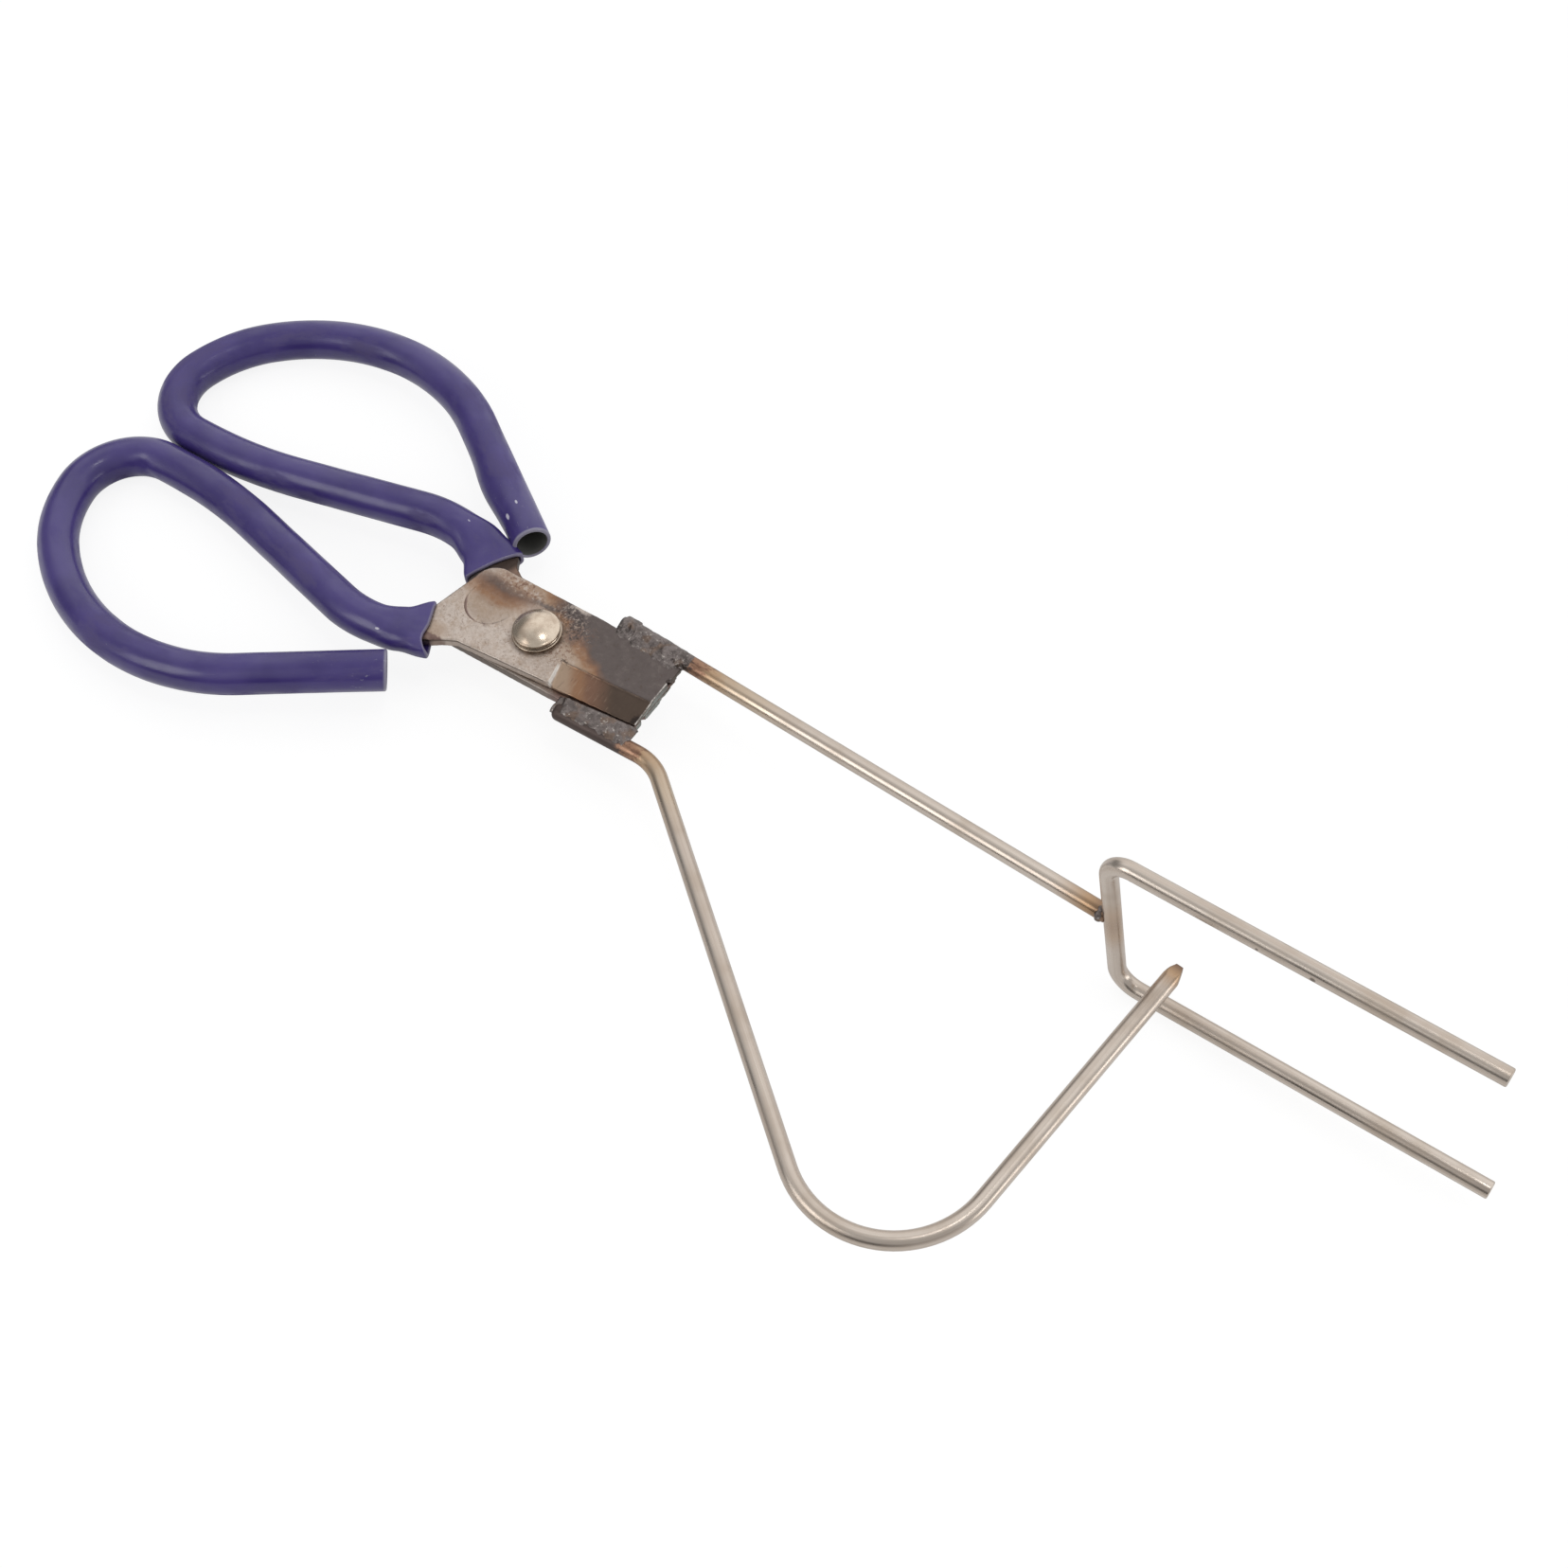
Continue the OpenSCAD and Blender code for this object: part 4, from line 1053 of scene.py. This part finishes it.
head_z = TOP_Z + HEAD_WASHER_T
tail_z = -TOP_Z - TAIL_WASHER_T
nickel = rivet_metal()
head_profile = dome_profile(HEAD_R - 0.02, HEAD_H - 0.4, head_z + HEAD_RIM + 0.5, 0.2)
tail_profile = [(radius, tail_z - z) for radius, z in reversed(dome_profile(TAIL_R, TAIL_H, 0, 0.1))]
under_head = [
    (SHANK_R, tail_z),
    (SHANK_R, head_z + 0.02),
    (HEAD_R - 0.25, head_z + 0.02),
    (HEAD_R - 0.08, head_z + 0.06),
    (HEAD_R, head_z + 0.16),
    (HEAD_R, head_z + 0.46),
    (HEAD_R - 0.13, head_z + 0.52),
    (HEAD_R - 0.13, head_z + 0.58),
    (HEAD_R - 0.02, head_z + 0.66),
]
lathe("rivet", tail_profile + under_head + head_profile, "pivot_rivet", 0.05)
lathe("top_washer", washer_profile(SHANK_R + 0.06, HEAD_WASHER_R, TOP_Z, head_z, 0.14), "head_washer")
lathe("tail_ring", washer_profile(SHANK_R + 0.06, TAIL_WASHER_R, tail_z, -TOP_Z, 0.14), "tail_washer")


# Welds

def melted(name, blobs, body, node, material, voxel=0.22, rough=0.12, seed=0):
    """Melted metal: a union of round blobs, (centre, radius) in the half frame, with a rough skin."""
    work = bmesh.new()
    for centre, radius in blobs:
        bmesh.ops.create_icosphere(work, subdivisions=3, radius=radius, matrix=Matrix.Translation(centre))
    shape = remeshed(name, work, voxel, 3)
    offset = Vector((seed * 17, seed * 5, seed * 11))
    normals = [vertex.normal.copy() for vertex in shape.vertices]
    for vertex, normal in zip(shape.vertices, normals):
        point = vertex.co * 1.1 + offset
        vertex.co += normal * rough * (noise.noise(point) + 0.5 * noise.noise(point * 2.7))
    shape.transform(HALVES[body])
    shape.polygons.foreach_set("use_smooth", [True] * len(shape.polygons))
    return make_object(name, shape, body, "weld_metal", material, node)


def weld_skin(name, body, node, xs, profile, height, pitch=0.22, depth=0.5):
    """Weld metal that lies on a seat. profile(x) gives the seat's points across the seam, and height
    gives how far the metal stands above a point, or less than nothing past its ragged border."""
    count = max(2, round((xs[1] - xs[0]) / pitch))
    rings = []
    for i in range(count + 1):
        x = xs[0] + (xs[1] - xs[0]) * i / count
        seat = evenly(profile(x), pitch)
        top, under = [], []
        total = len(seat) - 1
        for j, (y, z) in enumerate(seat):
            before, behind = seat[max(j - 1, 0)], seat[min(j + 1, total)]
            along = Vector((behind[0] - before[0], behind[1] - before[1])).normalized()
            outward = Vector((0, along.y, -along.x))
            point = Vector((x, y, z))
            lift = height(point, j / total)
            top.append(point + outward * max(lift, -depth * 0.6))
            under.append(point - outward * depth)
        rings.append(top + list(reversed(under)))
    mesh = ring_mesh(name, rings, HALVES[body], rings)
    if node:
        return make_object(name, mesh, body, "weld_metal", crust, node)
    return make_object(name, mesh, body, "weld_metal", crust)


def evenly(points, pitch, count=44):
    """The same number of points at even distances along a polyline."""
    lengths = [math.dist(a, b) for a, b in zip(points, points[1:])]
    total = sum(lengths)
    spread, piece, passed = [], 0, 0.0
    for i in range(count + 1):
        at = total * i / count
        while piece < len(lengths) - 1 and passed + lengths[piece] < at:
            passed += lengths[piece]
            piece += 1
        share = min(1, max(0, (at - passed) / lengths[piece]))
        (ax, ay), (bx, by) = points[piece], points[piece + 1]
        spread.append((ax + (bx - ax) * share, ay + (by - ay) * share))
    return spread


def rod_arc(y, z, low, high, steps=14):
    """Points on the rod's surface between two angles, seen from its end."""
    angles = [math.radians(low + (high - low) * i / steps) for i in range(steps + 1)]
    return [(y + ROD_R * math.cos(angle), z + ROD_R * math.sin(angle)) for angle in angles]


def lumps(point, seed, scale):
    return noise.noise(point * scale + Vector((seed * 7.3, seed * 3.1, seed * 5.7)))


def pit(point, spots, radius, deep):
    """How far a few round pits sink the surface at a point."""
    sunk = 0
    for x, y in spots:
        away = math.hypot(point.x - x, point.y - y) / radius
        sunk += deep * max(0, 1 - away * away)
    return sunk


def upper_seat(x):
    """Over the straight rod and down onto the upper blade's face."""
    rod_y = back_at(x, UPPER_TAPER) + ROD_R + ROOT_GAP
    if x > CUT_X:
        return rod_arc(rod_y, MID_Z, -25, 205)
    toe = top_at(x)
    reach = 6.2 - 3 * smooth((x - CUT_X + 3) / 3)
    return rod_arc(rod_y, MID_Z, -25, 118) + [(rod_y - 2.6, toe + 0.12), (rod_y - reach, toe)]


def upper_height(point, share):
    start = CUT_X - UPPER_SEAM_L
    along = point.x - start
    to_end = CUT_X + 2.1 - point.x
    bare = 0.3 * smooth((along - 2.5) / 4) + 0.05 * lumps(Vector((point.x, 0, 0)), 1, 0.5)
    toe = 0.84 + 0.12 * lumps(Vector((point.x, 5, 0)), 2, 0.45)
    over = smooth((share - bare) / 0.10) * smooth((toe - share) / 0.16)
    ends = smooth(along / 0.9 + 0.35) * smooth(to_end / 1.3)
    body = 0.34 + 0.24 * lumps(point, 3, 0.42) + 0.16 * lumps(point, 4, 1.0) + 0.09 * lumps(point, 5, 2.3)
    ring = math.hypot(point.x - 17.3, point.y - 11.4)
    ripple = 0.09 * math.cos(2 * math.pi * ring / 1.15) * smooth((3.4 - ring) / 1.2)
    pits = pit(point, [(23.5, 11), (24.2, 10.4), (31, 10), (27.2, 12.2)], 0.5, 0.3)
    return (body + ripple - pits) * over * ends - 0.28 * (1 - over * ends)


def lower_seat(x):
    """From over the bent rod to the upper blade's edge, in the half frame of the lower blade."""
    rod_y = back_at(x, LOWER_TAPER) + ROD_R + ROOT_GAP
    inner = max(edge_at(x) + EDGE_AIR, back_at(x, LOWER_TAPER) - 3)
    arc = rod_arc(rod_y, MID_Z, 250, 326)
    return [(inner, FACE_Z), (inner + 0.12, -0.45), (rod_y - 1.2, -0.5)] + arc


def lower_height(point, share):
    start = CUT_X - LOWER_SEAM_L
    slanted = point.x - start - 0.9 + 0.35 * (back_at(point.x, LOWER_TAPER) - point.y)
    ends = smooth(slanted / 0.9) * smooth((CUT_X + 1.2 - point.x) / 1.0)
    scallop = abs(math.sin(math.pi * (point.x + lumps(point, 10, 0.3)) / 2.2))
    outer = 0.84 + 0.07 * scallop + 0.10 * lumps(Vector((point.x, 0, 9)), 6, 0.5)
    over = smooth((outer - share) / 0.06)
    body = 0.14 + 0.13 * lumps(point, 7, 0.6) + 0.08 * lumps(point, 8, 1.5) + 0.06 * lumps(point, 9, 3.0)
    return body * over * ends - 0.3 * (1 - over * ends)


crust = weld_metal()
weld_skin("upper_seam", "upper_half", "upper_seam_weld", (14.6, 35.9), upper_seat, upper_height)
weld_skin("lower_seam", "lower_half", "lower_seam_weld", (14.2, 34.6), lower_seat, lower_height)
joint_blobs = []
for i in range(7):
    angle = 2 * math.pi * i / 7
    start = along_piece(arm_pose, (1, 0), ARM_L - ROD_R - 0.6)
    side = left_of(arm_pose[2])
    out = side * 1.5 * math.cos(angle) + Vector((0, 0, 1.5 * math.sin(angle)))
    joint_blobs.append((Vector((start[0], start[1], MID_Z)) + out, 0.95 + 0.12 * math.sin(i * 2.4)))
melted("fork_joint", joint_blobs, "upper_half", "fork_weld", crust, seed=3)


def weld_crust(name, taper, seam, body, reach, seed, thick=0.34):
    """A scab of weld metal round the start of a rod, with a ragged edge where it runs out."""
    start = rod_start(taper, seam)
    begin = along_piece(start, (1, 0), -0.45)
    stations = follow(begin, [(reach, 0)], 0.3)
    rings, unbent = [], []
    for distance, (x, y, heading) in stations:
        side = left_of(heading)
        ring, flat_ring = [], []
        closing = math.sqrt(max(0.0, 1 - (1 - min(distance / 1.1, 1)) ** 2))
        for i in range(56):
            angle = 2 * math.pi * i / 56
            sample = Vector((distance * 0.55 + seed * 9, math.cos(angle) * 1.3, math.sin(angle) * 1.3))
            bumps = noise.noise(sample) + 0.6 * noise.noise(sample * 2.3)
            fade = (distance - (reach - 3.5)) / 3.5
            extra = thick * (0.75 + 0.9 * bumps) - 0.8 * smooth(fade)
            radius = max(0.3, (ROD_R + extra) * closing)
            across, up = radius * math.cos(angle), radius * math.sin(angle)
            ring.append(Vector((x, y, MID_Z)) + side * across + Vector((0, 0, up)))
            flat_ring.append(Vector((distance, across, up)))
        rings.append(ring)
        unbent.append(flat_ring)
    mesh = ring_mesh(name, rings, HALVES[body], unbent)
    return make_object(name, mesh, body, "weld_metal", crust)


weld_crust("upper_rod_scab", UPPER_TAPER, UPPER_SEAM_L, "upper_half", 20.6, 1, 0.13)


def spatter(name, body, centre, spread, count, seed):
    """Specks of weld metal thrown onto the face of a blade."""
    random.seed(seed)
    work = bmesh.new()
    for _ in range(count):
        x = centre[0] + random.gauss(0, spread[0])
        y = centre[1] + random.gauss(0, spread[1])
        size = random.uniform(0.08, 0.2)
        place = Matrix.Translation((x, y, top_at(x) - 0.02)) @ Matrix.Diagonal((1, random.uniform(0.6, 1), 0.5, 1))
        bmesh.ops.create_icosphere(work, subdivisions=1, radius=size, matrix=place)
    mesh = bpy.data.meshes.new(name)
    work.transform(HALVES[body])
    work.to_mesh(mesh)
    work.free()
    mesh.polygons.foreach_set("use_smooth", [True] * len(mesh.polygons))
    return make_object(name, mesh, body, "weld_metal", crust)


spatter("blade_spatter", "upper_half", (5.6, 5.8), (2.6, 2.0), 70, 11)


# Stage, light and camera

def soft_box(name, azimuth, elevation, reach, size, radiance, shape="RECTANGLE"):
    """An area light that faces the object from one direction, with a given radiance."""
    light = bpy.data.lights.new(name, "AREA")
    light.shape = shape
    light.size, light.size_y = size
    area = size[0] * size[1] * (math.pi / 4 if shape == "ELLIPSE" else 1)
    light.energy = radiance * area * math.pi
    lamp = bpy.data.objects.new(name, light)
    bpy.context.collection.objects.link(lamp)
    outward = heading_of(azimuth) * math.cos(math.radians(elevation))
    outward.z = math.sin(math.radians(elevation))
    lamp.location = outward * reach
    lamp.rotation_euler = (-outward).to_track_quat("-Z", "Y").to_euler()


def white_stage():
    """A white floor. Seen directly or in a reflection it is mostly its own white, with a faint shadow."""
    shader = Shader("floor_white")
    shader.set(Base_Color=(0.55, 0.55, 0.55, 1), Roughness=1.0)
    rays = shader.nodes.new("ShaderNodeLightPath")
    mirrored = shader.math("MULTIPLY", rays.outputs["Is Glossy Ray"], 0.55)
    seen = shader.math("MAXIMUM", rays.outputs["Is Camera Ray"], mirrored)
    seen = shader.math("MAXIMUM", seen, rays.outputs["Is Transmission Ray"])
    glow = shader.nodes.new("ShaderNodeEmission")
    glow.inputs["Strength"].default_value = 0.86
    dim = shader.nodes.new("ShaderNodeBsdfDiffuse")
    dim.inputs["Color"].default_value = (0.2, 0.2, 0.2, 1)
    both = shader.nodes.new("ShaderNodeAddShader")
    shader.put(both.inputs[0], glow.outputs[0])
    shader.put(both.inputs[1], dim.outputs[0])
    choice = shader.nodes.new("ShaderNodeMixShader")
    shader.put(choice.inputs[0], seen)
    shader.put(choice.inputs[1], shader.bsdf.outputs[0])
    shader.put(choice.inputs[2], both.outputs[0])
    shader.put(shader.nodes["Material Output"].inputs["Surface"], choice.outputs[0])
    mesh = bpy.data.meshes.new("floor")
    reach = 6
    corners = [(-reach, -reach, 0), (reach, -reach, 0), (reach, reach, 0), (-reach, reach, 0)]
    mesh.from_pydata(corners, [], [(0, 1, 2, 3)])
    mesh.materials.append(shader.material)
    floor = bpy.data.objects.new("floor", mesh)
    bpy.context.collection.objects.link(floor)


def soft_world():
    """A studio tent: bright behind the object, dimmer at the top and sides, and dark low in front."""
    world = bpy.data.worlds.new("studio")
    bpy.context.scene.world = world
    world.use_nodes = True
    graph = Graph(world.node_tree)
    direction = graph.nodes.new("ShaderNodeTexCoord").outputs["Generated"]
    x, y, z = (graph.axis(direction, i) for i in range(3))
    behind = graph.times(
        graph.remap(y, -0.35, 0.35, 0, 0.52),
        graph.remap(x, -0.9, -0.7),
        graph.remap(x, 0.75, 0.5),
        graph.remap(z, 0.95, 0.88, 0.55, 1),
    )
    low_front = graph.times(graph.remap(y, -0.7, -0.9), graph.remap(z, 0.55, 0.3, 0, 0.47))
    low_left = graph.times(graph.remap(x, -0.65, -0.85), graph.remap(z, 0.6, 0.4, 0, 0.3))
    dark = graph.math("MAXIMUM", low_front, low_left)
    background = world.node_tree.nodes["Background"]
    background.inputs["Color"].default_value = (1, 1, 1, 1)
    graph.put(background.inputs["Strength"], graph.sum(0.52, behind, graph.times(dark, -1.0)))


white_stage()
soft_world()
soft_box("front_left", -120, 32, 1.3, (0.6, 0.75), 2.2)
soft_box("right", 15, 9, 1.2, (0.8, 0.3), 2.2)
soft_box("overhead", 20, 80, 1.5, (0.26, 0.26), 6.5, "ELLIPSE")

# Camera fitted to the photograph, in the frame of the scissors
CAMERA_AT = (241.96, -211.44, 408.76)
CAMERA_DOWN = 56.53
CAMERA_HEADING = 129.53
CAMERA_ROLL = 6.366
FOCAL_PIXELS = 2383
PHOTO_PIXELS = 1656
SENSOR = 36

forward = heading_of(CAMERA_HEADING) * math.cos(math.radians(CAMERA_DOWN))
forward.z = -math.sin(math.radians(CAMERA_DOWN))
right = forward.cross(Vector((0, 0, 1))).normalized()
down = forward.cross(right)
roll = math.radians(CAMERA_ROLL)
across = right * math.cos(roll) + down * math.sin(roll)
downward = down * math.cos(roll) - right * math.sin(roll)
axes = Matrix((across, -downward, -forward)).transposed().to_4x4()
camera_data = bpy.data.cameras.new("camera")
camera_data.sensor_width = SENSOR
camera_data.lens = SENSOR * FOCAL_PIXELS / PHOTO_PIXELS
camera_data.clip_start = 0.01
camera = bpy.data.objects.new("camera", camera_data)
bpy.context.collection.objects.link(camera)
camera.matrix_world = TOOL @ Matrix.Translation(Vector(CAMERA_AT) * MM) @ axes
bpy.context.scene.camera = camera
bpy.context.scene.view_settings.view_transform = "Standard"

bpy.context.view_layer.update()
